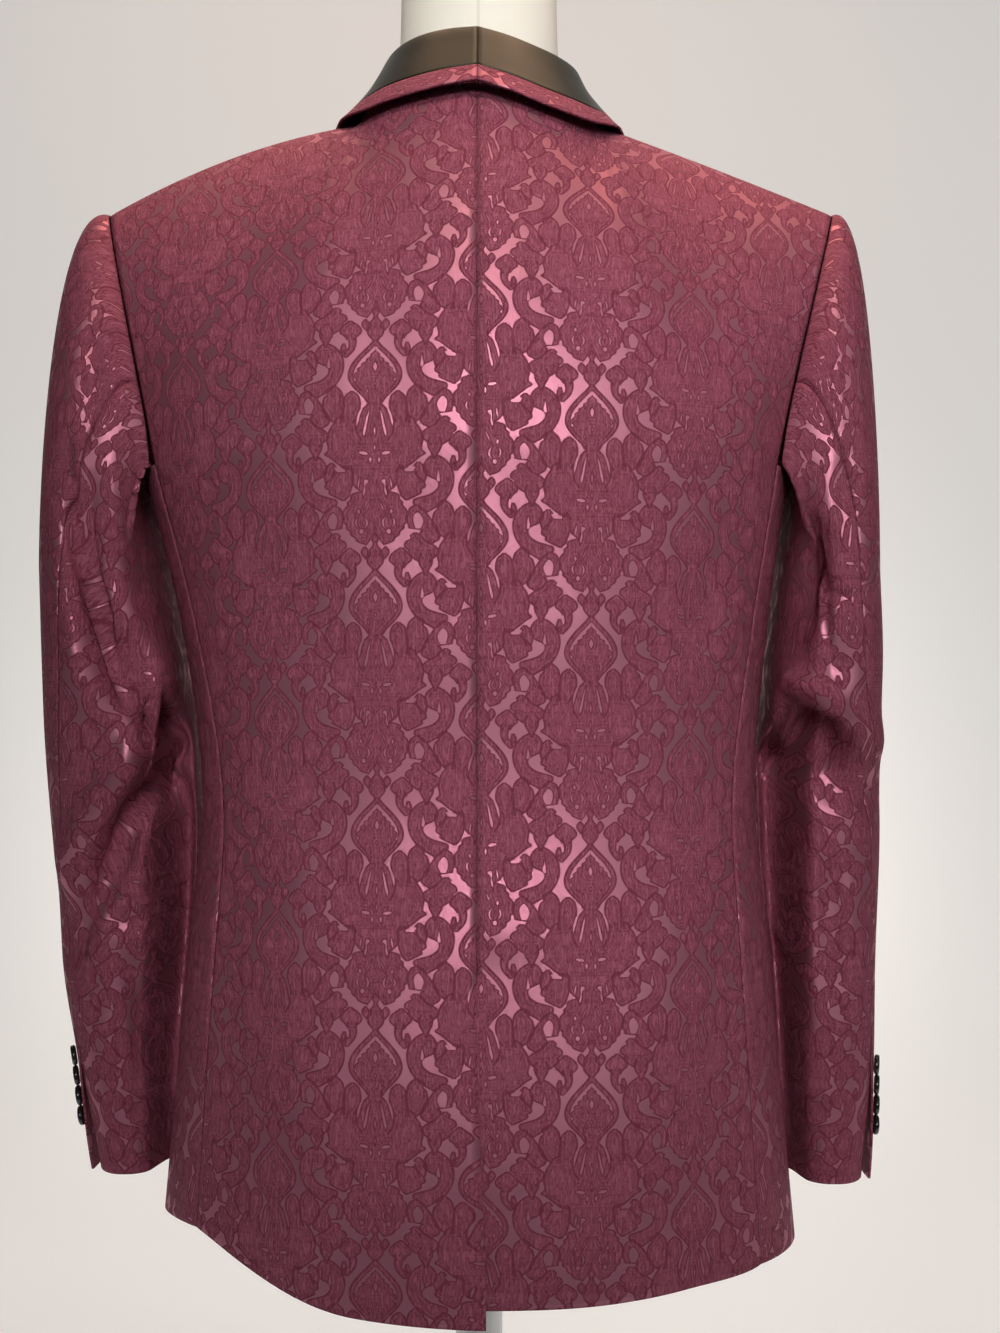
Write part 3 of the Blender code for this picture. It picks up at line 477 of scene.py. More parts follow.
def fold_depth(folds, angle, height):
    """How far the folds move the cloth out or in at each place on a sleeve."""
    total = np.zeros_like(height)
    for angle_a, height_a, angle_b, height_b, half_width, depth in folds:
        share = np.clip((angle - angle_a) / (angle_b - angle_a), 0.0, 1.0)
        line = height_a + (height_b - height_a) * share
        beyond = np.abs(angle - (angle_a + (angle_b - angle_a) * share)) / FOLD_END_SPREAD
        total += depth * np.exp(-((height - line) / half_width) ** 2 - beyond ** 2)
    return total


def sleeve_surface(angle, way, side):
    """Sleeve with its folds; angle 0 is its outer side, 90 the back, 180 the inner side.

    Way runs from 0 to 1 over the head and on to 2 at the cuff.
    """
    angle, way = np.broadcast_arrays(np.asarray(angle, dtype=float) % 360.0, np.asarray(way, dtype=float))
    table = RIGHT_SLEEVE if side > 0 else LEFT_SLEEVE
    top = 0.5 + 0.5 * np.cos(np.radians(angle))
    under = smooth((UNDERARM_TOP - top) / UNDERARM_BLEND)
    start = armhole(angle / 360.0, side)
    start[..., 0] += ARMHOLE_GAP + (UNDERARM_GAP - ARMHOLE_GAP) * under
    end = sleeve_section(table, angle, table[0, 0])
    length = np.linalg.norm(end - start, axis=-1)
    fullness = HEAD_FULLNESS[0 if side < 0 else 1]
    back = np.sin(np.radians(angle))
    leave = points_of(HEAD_OUT + fullness * top, -HEAD_BACK * back, HEAD_UP * top - HEAD_DOWN)
    hang = points_of(0.0, 0.0, -HEAD_HANG * length)
    head = hermite(start, leave * length[..., None], end, hang, np.minimum(way, 1.0))
    height = table[0, 0] + (table[-1, 0] - table[0, 0]) * np.maximum(way - 1.0, 0.0)
    tube = sleeve_section(table, angle, height)
    point = np.where((way < 1.0)[..., None], head, tube)
    folds = RIGHT_FOLDS if side > 0 else LEFT_FOLDS
    depth = fold_depth(folds, angle, point[..., 2] - HEM) * smooth(way / FOLDS_FROM)
    away = points_of(np.cos(np.radians(angle)), -np.sin(np.radians(angle)), 0.0)
    return point + away * depth[..., None]


def hind_angle(table, way):
    height = table[0, 0] + (table[-1, 0] - table[0, 0]) * np.maximum(way - 1.0, 0.0)
    head = HIND_SEAM_START + (table[0, 5] - HIND_SEAM_START) * way
    return np.where(way < 1.0, head, follow(table, 5, height))


def two_spans(first, second):
    """Places from 0 to 1 and on to 2, with a number of steps on each span."""
    return np.concatenate([np.linspace(0.0, 1.0, first + 1), np.linspace(1.0, 2.0, second + 1)[1:]])


def along(points, axis):
    """Distance walked over a grid of points along one axis, from its first row or column."""
    steps = np.linalg.norm(np.diff(points, axis=axis), axis=2)
    first = np.zeros_like(np.take(steps, [0], axis=axis))
    return np.concatenate([first, np.cumsum(steps, axis=axis)], axis=axis)


# Creases: finer steps along each, least share of the way from an end, how it fades there, and how far
# a sleeve's wall has turned back or forward where its creases are full
CREASE_STEPS = 5
CREASE_END = 0.02
CREASE_FADE = 0.7
CREASE_FACING = 0.5


def crease(across, up, path, half_width, depth):
    """Soft trough along a bent line on the cloth, through its places, fading at both ends."""
    line = refine(np.array(path), 0, CREASE_STEPS)
    best = np.full(across.shape, np.inf)
    place = np.zeros(across.shape)
    for k, ((x, y), (dx, dy)) in enumerate(zip(line[:-1], np.diff(line, axis=0))):
        t = np.clip(((across - x) * dx + (up - y) * dy) / (dx * dx + dy * dy), 0.0, 1.0)
        far = np.hypot(across - x - t * dx, up - y - t * dy)
        closer = far < best
        best = np.where(closer, far, best)
        place = np.where(closer, (k + t) / (len(line) - 1), place)
    fade = np.sin(np.pi * np.clip(place, CREASE_END, 1.0 - CREASE_END)) ** CREASE_FADE
    return depth * fade * np.exp(-(best / half_width) ** 2)


def add_piece(name, mesh, material, node):
    mesh.materials.append(material)
    mesh.shade_smooth()
    piece = bpy.data.objects.new(name, mesh)
    bpy.context.scene.collection.objects.link(piece)
    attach(piece, "root")
    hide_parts(node)
    return piece


def add_cloth(name, points, cloth, thickness, material, side, keep=None):
    """Thin shell on a grid of points, with its cloth coordinates in metres, as thick as the cloth."""
    rows, columns = points.shape[:2]
    if side < 0:
        points = points * np.array([-1.0, 1.0, 1.0])
    form = bmesh.new()
    bmesh.ops.create_grid(form, x_segments=columns - 1, y_segments=rows - 1, size=1.0)
    form.verts.ensure_lookup_table()
    column = np.array([round((v.co.x + 1.0) / 2.0 * (columns - 1)) for v in form.verts])
    row = np.array([round((v.co.y + 1.0) / 2.0 * (rows - 1)) for v in form.verts])
    for vert, r, c in zip(form.verts, row, column):
        vert.co = points[r, c]
    layer = form.loops.layers.uv.new("cloth")
    for face in form.faces:
        for loop in face.loops:
            k = loop.vert.index
            loop[layer].uv = cloth[row[k], column[k]]
    if keep is not None:
        dropped = []
        for face in form.faces:
            spots = [v.index for v in face.verts]
            if not keep[row[spots].min(), column[spots].min()]:
                dropped.append(face)
        bmesh.ops.delete(form, geom=dropped, context="FACES")
    if side < 0:
        bmesh.ops.reverse_faces(form, faces=form.faces)
    for face in form.faces:
        a, b, c, d = [loop[layer].uv for loop in face.loops]
    mesh = bpy.data.meshes.new(name)
    form.to_mesh(mesh)
    form.free()
    piece = add_piece(name, mesh, material, name)
    shell = piece.modifiers.new("cloth thickness", "SOLIDIFY")
    shell.thickness = thickness
    shell.offset = -1.0


def sink(points, normals, distance):
    """Draw the cloth in along a sewn edge, as a pressed seam does."""
    return points - normals * (SEAM_SINK * np.exp(-(distance / SEAM_SOFT) ** 2))[..., None]


def panel_cloth(points, under_row):
    """Cloth coordinates of a body panel: across from its first column, up from the hem."""
    across = along(points, 1)
    across[under_row:] = across[under_row] + points[under_row:, :, 0] - points[under_row, :, 0]
    up = points[..., 2].copy()
    up[under_row:] = up[under_row] + along(points[under_row:], 0)
    return np.stack([across, up], axis=-1)


# Soft hollows and ridges of the back, left then right: start, bend and end (out from the centre back,
# height), half width, depth
BACK_CREASES = {
    -1: [
        (((0.150, 0.66), (0.120, 0.60), (0.070, 0.53)), 0.022, 0.0018),
        (((0.165, 0.52), (0.130, 0.47), (0.095, 0.40)), 0.020, -0.0015),
        (((0.060, 0.80), (0.050, 0.70), (0.030, 0.60)), 0.020, 0.0014),
        (((0.175, 0.42), (0.165, 0.33), (0.160, 0.22)), 0.018, 0.0020),
        (((0.110, 0.38), (0.105, 0.30), (0.100, 0.19)), 0.026, -0.0022),
    ],
    1: [
        (((0.160, 0.64), (0.140, 0.585), (0.100, 0.56)), 0.016, 0.0018),
        (((0.178, 0.60), (0.165, 0.57), (0.140, 0.555)), 0.007, -0.0012),
        (((0.020, 0.74), (0.030, 0.66), (0.050, 0.58)), 0.020, 0.0015),
        (((0.120, 0.42), (0.110, 0.32), (0.105, 0.20)), 0.028, -0.0022),
        (((0.170, 0.40), (0.160, 0.32), (0.155, 0.20)), 0.018, 0.0018),
    ],
}


def build_backs(material):
    """Two back halves; the left laps over the right at the centre vent."""
    ways = two_spans(ROWS_BELOW, ROWS_ABOVE)[:, None]
    laps = np.linspace(1.0, 0.0, LAP_COLUMNS + 1)[:-1]
    for side, word in SIDES:
        first = LAP_COLUMNS if side > 0 else 0
        columns = np.concatenate([-UNDERLAP_SHARE * laps[:first], np.linspace(0.0, 1.0, BACK_COLUMNS)])
        u = columns[None, :]

        def surface(across, way):
            return back_surface(across, way, side)

        points = surface(u, ways)
        normals = surface_normal(surface, u, ways)
        cloth = panel_cloth(points[:, first:], ROWS_BELOW)
        drop = VENT_LENGTH - UNDERARM * np.minimum(ways[:, 0], 1.0)
        opening = smooth(drop / VENT_RAMP)[:, None]
        away = np.maximum(points[..., 0], 0.0)
        dents = np.zeros(cloth.shape[:2])
        for path, half_width, depth in BACK_CREASES[side]:
            dents += crease(cloth[..., 0], cloth[..., 1], path, half_width, depth)
        points[:, first:] -= normals[:, first:] * dents[..., None]
        if side > 0:
            fade = 1.0 - smooth(away / UNDERLAP_FADE)
            points -= normals * (UNDERLAP_DEPTH * opening * fade)[..., None]
            points[:, first, 0] += SEAM_SHOWN * (1.0 - opening[:, 0])
            points[:, :first, 0] = -UNDERLAP_WIDTH * laps
            strip = np.stack([np.broadcast_to(points[:, :first, 0], (len(ways), first)),
                              np.broadcast_to(cloth[:, :1, 1], (len(ways), first))], axis=-1)
            cloth = np.concatenate([strip, cloth], axis=1)
        else:
            lap = OVERLAP_AT_HEM * smooth((drop - VENT_RAMP) / (VENT_LENGTH - VENT_RAMP))
            proud = LAP_PROUD * smooth((drop - VENT_RAMP) / LAP_PROUD_RISE)[:, None]
            proud = proud * np.exp(-away / LAP_PROUD_FADE)
            points += normals * proud[..., None]
            points[:, 0, 0] += SEAM_SHOWN - lap
        middle = np.where(opening > 0.5, 1.0, away)
        points = sink(points, normals, middle)
        edge = along(points, 1)
        points = sink(points, normals, edge[:, -1:] - edge)
        keep = np.ones((len(ways) - 1, len(columns) - 1), dtype=bool)
        if side > 0:
            keep[:, :first] = (UNDERARM * ways[1:] <= VENT_LENGTH - VENT_RAMP)
        points[-1, :, 1] -= SEAM_SHOWN
        cloth = cloth - CLOTH_FROM[side]
        add_cloth(f"back_{word}", points, cloth, WALL, material, side, keep)


def build_fronts(material):
    """Two fronts, each from the side seam round to the front edge; the left laps over the right."""
    ways = two_spans(ROWS_BELOW, ROWS_ABOVE)[:, None]
    u = two_spans(FLANK_COLUMNS, FRONT_COLUMNS)[None, :]
    for side, word in SIDES:
        def surface(across, way):
            return front_surface(across, way, side)

        points = surface(u, ways)
        normals = surface_normal(surface, u, ways)
        cloth = panel_cloth(points, ROWS_BELOW)
        if side > 0:
            tuck = 1.0 - smooth((points[..., 0] - FRONT_LAP_FROM) / FRONT_LAP_FADE)
            points -= normals * (FRONT_LAP_DEPTH * tuck * (points[..., 1] > 0.0))[..., None]
        edge = along(points, 1)
        points = sink(points, normals, edge)
        points[ROWS_BELOW + 1:, :FLANK_COLUMNS] = points[ROWS_BELOW, :FLANK_COLUMNS]
        points[-1, :, 1] += SEAM_SHOWN
        keep = np.ones((len(ways) - 1, u.size - 1), dtype=bool)
        keep[ROWS_BELOW:, :FLANK_COLUMNS] = False
        add_cloth(f"front_{word}", points, cloth, WALL, material, side, keep)


# Creases of the sleeves seen from behind, left then right: places along each (out from the middle,
# height), half width, depth
SLEEVE_CREASES = {
    -1: [
        (((0.250, 0.693), (0.244, 0.616), (0.230, 0.554), (0.208, 0.528)), 0.012, 0.0140),
        (((0.258, 0.640), (0.254, 0.575), (0.240, 0.515)), 0.011, -0.0050),
        (((0.222, 0.535), (0.204, 0.526), (0.186, 0.529)), 0.010, 0.0140),
        (((0.186, 0.512), (0.214, 0.476), (0.236, 0.444), (0.252, 0.408)), 0.008, 0.0130),
        (((0.192, 0.532), (0.226, 0.494), (0.246, 0.462), (0.256, 0.430)), 0.009, -0.0045),
        (((0.248, 0.402), (0.236, 0.390), (0.222, 0.392)), 0.006, 0.0035),
        (((0.230, 0.380), (0.224, 0.320), (0.226, 0.255)), 0.011, 0.0070),
        (((0.216, 0.700), (0.212, 0.650), (0.200, 0.590)), 0.012, 0.0080),
        (((0.250, 0.785), (0.246, 0.745), (0.250, 0.700)), 0.009, 0.0030),
    ],
    1: [
        (((0.182, 0.537), (0.206, 0.524), (0.226, 0.507), (0.234, 0.480)), 0.011, 0.0170),
        (((0.184, 0.558), (0.214, 0.546), (0.238, 0.534)), 0.009, -0.0060),
        (((0.220, 0.612), (0.232, 0.604), (0.243, 0.606)), 0.004, 0.0032),
        (((0.235, 0.538), (0.229, 0.500)), 0.003, 0.0020),
        (((0.228, 0.534), (0.222, 0.492)), 0.003, 0.0018),
        (((0.212, 0.660), (0.206, 0.605), (0.194, 0.562)), 0.012, 0.0120),
        (((0.180, 0.527), (0.203, 0.392), (0.218, 0.358)), 0.004, -0.0022),
        (((0.239, 0.440), (0.235, 0.390), (0.238, 0.330)), 0.009, 0.0045),
        (((0.236, 0.700), (0.231, 0.650)), 0.006, 0.0030),
    ],
}
# Creases inside the elbow, on the front of each sleeve
ELBOW_CREASES = [
    (((0.196, 0.520), (0.222, 0.506), (0.250, 0.512)), 0.010, 0.0050),
    (((0.200, 0.486), (0.228, 0.470), (0.252, 0.462)), 0.008, 0.0040),
    (((0.206, 0.556), (0.230, 0.552), (0.248, 0.566)), 0.007, 0.0030),
]


def sleeve_creases(points, normals, side):
    """Creases of a hanging sleeve, and its inner side tucked forward below the elbow."""
    out, height = points[..., 0], points[..., 2]
    behind = smooth(-normals[..., 1] / CREASE_FACING)
    before = smooth(normals[..., 1] / CREASE_FACING)
    dents = np.zeros(points.shape[:2])
    for creases, facing in ((SLEEVE_CREASES[side], behind), (ELBOW_CREASES, before)):
        for path, half_width, depth in creases:
            dents += crease(out, height, path, half_width, depth) * facing
    creased = points - normals * dents[..., None]
    inner = smooth((INNER_RIDGE - out) / INNER_REACH)
    low = smooth((INNER_TUCK_FROM - height) / INNER_TUCK_RISE)
    creased[..., 1] += INNER_TUCK * inner * low * behind
    return creased


def build_sleeves(material):
    """Two-piece sleeves with an open cuff vent on the hind seam."""
    ways = two_spans(HEAD_ROWS, TUBE_ROWS)[::-1, None]
    for side, word in SIDES:
        table = RIGHT_SLEEVE if side > 0 else LEFT_SLEEVE
        hind = hind_angle(table, ways)
        length = (2.0 - ways) * (table[0, 0] - table[-1, 0])
        for part, columns in SLEEVE_COLUMNS.items():
            share = np.linspace(0.0, 1.0, columns)[None, :]
            if part == "top_sleeve":
                angles = FORE_SEAM_ANGLE - 360.0 + (hind - FORE_SEAM_ANGLE + 360.0) * share
            else:
                angles = hind + (FORE_SEAM_ANGLE - hind) * share
            points = sleeve_surface(angles, ways, side)
            across = sleeve_surface(angles + 1.0, ways, side) - sleeve_surface(angles - 1.0, ways, side)
            down = sleeve_surface(angles, np.minimum(ways + 0.01, 2.0), side)
            down = down - sleeve_surface(angles, np.maximum(ways - 0.01, 0.0), side)
            normals = unit(np.cross(across, down))
            points[:, 0] += unit(points[:, 1] - points[:, 0]) * SEAM_SHOWN
            points[:, -1] += unit(points[:, -2] - points[:, -1]) * SEAM_SHOWN
            around = along(points, 1)
            middle = np.zeros(len(ways), dtype=int)
            if part == "top_sleeve":
                middle = np.abs(angles).argmin(axis=1)
            around = around - around[np.arange(len(ways)), middle][:, None]
            up = points[..., 2].copy()
            up[TUBE_ROWS:] = up[TUBE_ROWS] + along(points[TUBE_ROWS:], 0)
            cloth = np.stack([around, up], axis=-1)
            if part == "top_sleeve":
                flare = CUFF_FLARE * smooth(1.0 - length / CUFF_VENT)
                reach = np.maximum((angles / hind - FLARE_FROM) / (1.0 - FLARE_FROM), 0.0) ** FLARE_POWER
                points += normals * (flare * reach)[..., None]
            points = sleeve_creases(points, normals, side)
            edge = along(points, 1)
            points = sink(points, normals, edge)
            points = sink(points, normals, np.where(length < CUFF_VENT, 1.0, edge[:, -1:] - edge))
            points, cloth = points[:, ::-1], cloth[:, ::-1]
            add_cloth(f"{part}_{word}", points, cloth, SLEEVE_WALL, material, side)


def refine(points, axis, factor):
    """Smooth curve through a grid's points along one axis, with more points on it."""
    points = np.moveaxis(points, axis, 0)
    slopes = np.gradient(points, axis=0)
    rows = []
    for k in range(len(points) - 1):
        for step in range(factor):
            t = np.array(step / factor)
            rows.append(hermite(points[k], slopes[k], points[k + 1], slopes[k + 1], t))
    rows.append(points[-1])
    return np.moveaxis(np.array(rows), 0, axis)


def fall_steps(width):
    """Places across the fall: up to the trim's seam, then over the trim."""
    seam = 1.0 - np.minimum(TRIM_WIDTH, width / 2) / width
    even = np.ones_like(seam)
    return np.stack([0.0 * seam, 0.36 * seam, 0.72 * seam, seam, (even + seam) / 2, even], axis=-1)


def back_collar(share, side):
    """Collar sections behind the neck, from the foot of the stand, over the roll, to the outer edge."""
    def back(u, way):
        return back_surface(u, way, side)

    table = SHAWL_BACK_RIGHT if side > 0 else SHAWL_BACK_LEFT
    turn = share * np.pi / 2
    inward = points_of(-np.sin(turn), np.cos(turn), 0.0)
    upward = np.array([0.0, 0.0, 1.0])
    seam = neck_seam(share)
    foot = seam + upward * 3 * SEAM + inward * COLLAR_WALL
    roll = seam + inward * follow(table, 2, share)[:, None]
    roll[:, 2] += follow(table, 1, share)
    u = NECK_SHARE * share + SHAWL_SPREAD * smooth((share - SHAWL_SPREAD_FROM) / (1.0 - SHAWL_SPREAD_FROM))
    way = 2.0 - follow(table, 3, share) / (NECK_BACK[2] - HEM - UNDERARM)
    normal = surface_normal(back, u, np.minimum(way, 1.99))
    edge = back(u, way) + normal * follow(table, 4, share)[:, None]
    start = roll - (inward + upward) * ROLL_RADIUS
    points = [foot, (foot + roll) / 2 + inward * ROLL_RADIUS, roll + (inward - upward) * ROLL_RADIUS, roll]
    steps = fall_steps(np.full(len(share), COLLAR_FALL))
    points += [blend(start, edge, steps[:, k]) for k in range(steps.shape[1])]
    return np.stack(points, axis=1)


def front_collar(share, side):
    """Lapel sections on the front, made from the front's own points, moved out."""
    def front(u, way):
        return front_surface(u, way, side)

    way = 2.0 + (LAPEL_END / UNDERARM - 2.0) * share
    row = front(np.linspace(1.0, 2.0, 13)[None, :], way[:, None])
    length = np.linalg.norm(np.diff(row, axis=1), axis=2).sum(axis=1)
    seam = front(np.full(len(share), 2.0), way)
    across = unit(seam - front(np.full(len(share), 1.96), way))
    lean = unit(NECKWARD + (across - NECKWARD) * smooth(share / NECKWARD_FADE)[:, None])
    stand = lean * follow(SHAWL_FRONT, 1, share)[:, None]
    outward = surface_normal(front, np.full(len(share), 1.99), np.minimum(way, 1.99))
    width = follow(SHAWL_FRONT, 2, share)
    foot = seam + lean * 3 * SEAM - outward * (WALL / 2 * smooth(share / SHOULDER_FADE))[:, None]
    roll = seam + stand + outward * SHAWL_LIFT
    points = [foot, (foot + roll) / 2 - outward * ROLL_RADIUS / 3, roll - outward * ROLL_RADIUS, roll]
    steps = fall_steps(width)
    for k in range(steps.shape[1]):
        reach = ROLL_START + (1.0 - ROLL_START) * steps[:, k]
        u = np.maximum(2.0 - reach * width / length, 1.0)
        lift = SHAWL_LIFT + ROLL_SWELL * np.sin(np.pi * steps[:, k]) ** 2
        lift = lift + SHOULDER_LIFT * (1.0 - smooth(share / SHOULDER_FADE))
        normal = surface_normal(front, np.minimum(u, 1.99), np.minimum(way, 1.99))
        points.append(front(u, way) + normal * lift[:, None] + stand * ((1.0 - reach) ** 2)[:, None])
    return np.stack(points, axis=1)


def build_shawl(satin, damask):
    """Satin shawl collar and its cloth edge, rounded where it turns over the shoulder."""
    behind = np.linspace(0.0, 1.0, NECK_SECTIONS)
    first, last = TURN_SECTIONS
    trim_at = TRIM_COLUMN * COLUMN_STEPS
    fall_at = FALL_COLUMN * COLUMN_STEPS
    for side, word in SIDES:
        points = np.concatenate([back_collar(behind, side), front_collar(LAPEL_WAYS, side)])
        points[0, :, 0] = SEAM / 2
        fall = points[:, STAND_COLUMNS:]
        for _ in range(TURN_ROUNDS):
            near = fall[first - 1:last - 1] + 2.0 * fall[first:last] + fall[first + 1:last + 1]
            fall[first:last] = near / 4.0
        keep = np.ones((points.shape[0] - 1, points.shape[1] - 1), dtype=bool)
        low = follow(SHAWL_FRONT, 1, LAPEL_WAYS) < STAND_LEAST
        keep[NECK_SECTIONS - 1:, :STAND_COLUMNS] = ~low[:, None]
        keep = np.repeat(np.repeat(keep, SECTION_STEPS, axis=0), COLUMN_STEPS, axis=1)
        points = refine(refine(points, 0, SECTION_STEPS), 1, COLUMN_STEPS)
        points[0, :, 0] = SEAM / 2
        band = unit(points[:, -1] - points[:, trim_at])
        down = along(points[:, fall_at:fall_at + 1], 0)
        cloth = np.stack(np.broadcast_arrays(along(points, 1), down), axis=-1)
        leaf = points[:, :trim_at + 1].copy()
        leaf[:, -1] -= band * SEAM
        trim = points[:, trim_at:].copy()
        trim[:, 0] += band * SEAM
        leaf_cloth = cloth[:, :trim_at + 1]
        trim_cloth = cloth[:, trim_at:] - cloth[:, trim_at:trim_at + 1] * np.array([1.0, 0.0])
        leaf_keep = keep[:, :trim_at]
        add_cloth(f"shawl_{word}", leaf, leaf_cloth, COLLAR_WALL, satin, side, leaf_keep)
        add_cloth(f"trim_{word}", trim, trim_cloth, COLLAR_WALL, damask, side)


BUTTON_STEPS = 40
# Thread stitches in the dish: way out and size as shares of the radius, level as a share of the thickness
STITCH_OUT = 0.2
STITCH_SIZE = 0.11
STITCH_LEVEL = 0.66
# Button outline: share of the radius, share of the thickness
BUTTON_OUTLINE = (
    (0.00, 0.00), (0.70, 0.00), (0.92, 0.12), (1.00, 0.36), (1.00, 0.62), (0.95, 0.88), (0.86, 1.00),
    (0.76, 0.98), (0.68, 0.84), (0.56, 0.70), (0.30, 0.64), (0.00, 0.62),
)


def build_buttons(material):
    """Sewn buttons with a round rim and a dished middle, each where its solid sits."""
    names = [f"cuff_button_{word}_{k}" for word in ("left", "right") for k in range(1, 5)]
    for name in names + ["front_button"]:
        spots = np.array([v.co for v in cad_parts[name].data.vertices])
        facing = np.linalg.svd(spots - spots.mean(axis=0))[2][2]
        outward = facing[1] if name == "front_button" else facing[0] * spots[:, 0].mean()
        facing = facing * np.sign(outward)
        level = spots @ facing
        thickness = level.max() - level.min()
        middle = (spots.max(axis=0) + spots.min(axis=0)) / 2
        centre = middle + facing * (level.min() - middle @ facing)
        radius = np.linalg.norm(np.cross(spots - centre, facing), axis=1).max()
        form = bmesh.new()
        line = [form.verts.new((r * radius, 0.0, h * thickness)) for r, h in BUTTON_OUTLINE]
        edges = [form.edges.new(pair) for pair in zip(line, line[1:])]
        bmesh.ops.spin(form, geom=line + edges, axis=(0, 0, 1), cent=(0, 0, 0), angle=2 * math.pi,
                       steps=BUTTON_STEPS, use_merge=True)
        bmesh.ops.remove_doubles(form, verts=form.verts, dist=WELD)
        for x, y in ((1, 0), (0, 1), (-1, 0), (0, -1)):
            out = radius * STITCH_OUT
            place = Matrix.Translation((x * out, y * out, thickness * STITCH_LEVEL))
            bmesh.ops.create_uvsphere(form, u_segments=10, v_segments=6, radius=radius * STITCH_SIZE,
                                      matrix=place)
        bmesh.ops.recalc_face_normals(form, faces=form.faces)
        turn = Vector((0, 0, 1)).rotation_difference(Vector(facing)).to_matrix().to_4x4()
        bmesh.ops.transform(form, matrix=Matrix.Translation(Vector(centre)) @ turn, verts=form.verts)
        mesh = bpy.data.meshes.new(name)
        form.to_mesh(mesh)
        form.free()
        add_piece(name, mesh, material, name)


def build_form(material):
    """Smooth, padded torso and neck that the jacket hangs on."""
    form = bmesh.new()
    form.from_mesh(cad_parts["dress_form"].data)
    bmesh.ops.remove_doubles(form, verts=form.verts, dist=WELD)
    mesh = bpy.data.meshes.new("dress_form")
    form.to_mesh(mesh)
    form.free()
    mesh.materials.clear()
    piece = add_piece("dress_form", mesh, material, "dress_form")
    rounding = piece.modifiers.new("rounding", "SUBSURF")
    rounding.levels = rounding.render_levels = 2


class Nodes:
    """Adds shader nodes to one tree and links them."""

    def __init__(self, tree):
        self.tree = tree

    def add(self, kind, *inputs, out=0, **settings):
        node = self.tree.nodes.new(kind)
        for name, value in settings.items():
            setattr(node, name, value)
        for k, value in enumerate(inputs):
            if value is None:
                continue
            if hasattr(value, "is_output"):
                self.tree.links.new(value, node.inputs[k])
            else:
                node.inputs[k].default_value = value
        return node.outputs[out]

    def maths(self, operation, *inputs):
        return self.add("ShaderNodeMath", *inputs, operation=operation)

    def least(self, *values):
        result = values[0]
        for value in values[1:]:
            result = self.maths("MINIMUM", result, value)
        return result

    def between(self, value, low, high, at_low, at_high):
        """Soft step from one value to another."""
        return self.add("ShaderNodeMapRange", value, low, high, at_low, at_high,
                        interpolation_type="SMOOTHSTEP")

    def noise(self, place, scale, detail, roughness):
        return self.add("ShaderNodeTexNoise", place, None, scale, detail, roughness)

    def stretched(self, place, scale):
        return self.add("ShaderNodeMapping", place, None, None, scale)

    def stripes(self, place, turn, scale):
        """Even stripes across the place, turned by an angle."""
        turned = self.add("ShaderNodeMapping", place, None, (0.0, 0.0, turn), (1.0, 1.0, 1.0))
        return self.add("ShaderNodeTexWave", turned, scale)

    def bump(self, height, strength, distance):
        node = self.tree.nodes.new("ShaderNodeBump")
        node.inputs["Strength"].default_value = strength
        node.inputs["Distance"].default_value = distance
        self.tree.links.new(height, node.inputs["Height"])
        return node.outputs[0]

    def mix(self, share, first, second):
        node = self.tree.nodes.new("ShaderNodeMix")
        node.data_type = "RGBA"
        for socket, value in ((0, share), (6, first), (7, second)):
            if hasattr(value, "is_output"):
                self.tree.links.new(value, node.inputs[socket])
            else:
                node.inputs[socket].default_value = value if socket == 0 else (*value, 1.0)
        return node.outputs[2]

    def line(self, value, places, outs):
        """Line through many marks, read at a value."""
        node = self.tree.nodes.new("ShaderNodeFloatCurve")
        node.mapping.use_clip = False
        line = node.mapping.curves[0]
        line.points[0].location = (places[0], outs[0])
        line.points[1].location = (places[-1], outs[-1])
        node.mapping.update()
        bends = np.abs(np.diff(outs, 2)) > 1e-4
        for k in np.flatnonzero(bends) + 1:
            line.points.new(places[k], outs[k])
        for point in line.points:
            point.handle_type = "VECTOR"
        node.mapping.update()
        self.tree.links.new(value, node.inputs["Value"])
        return node.outputs[0]


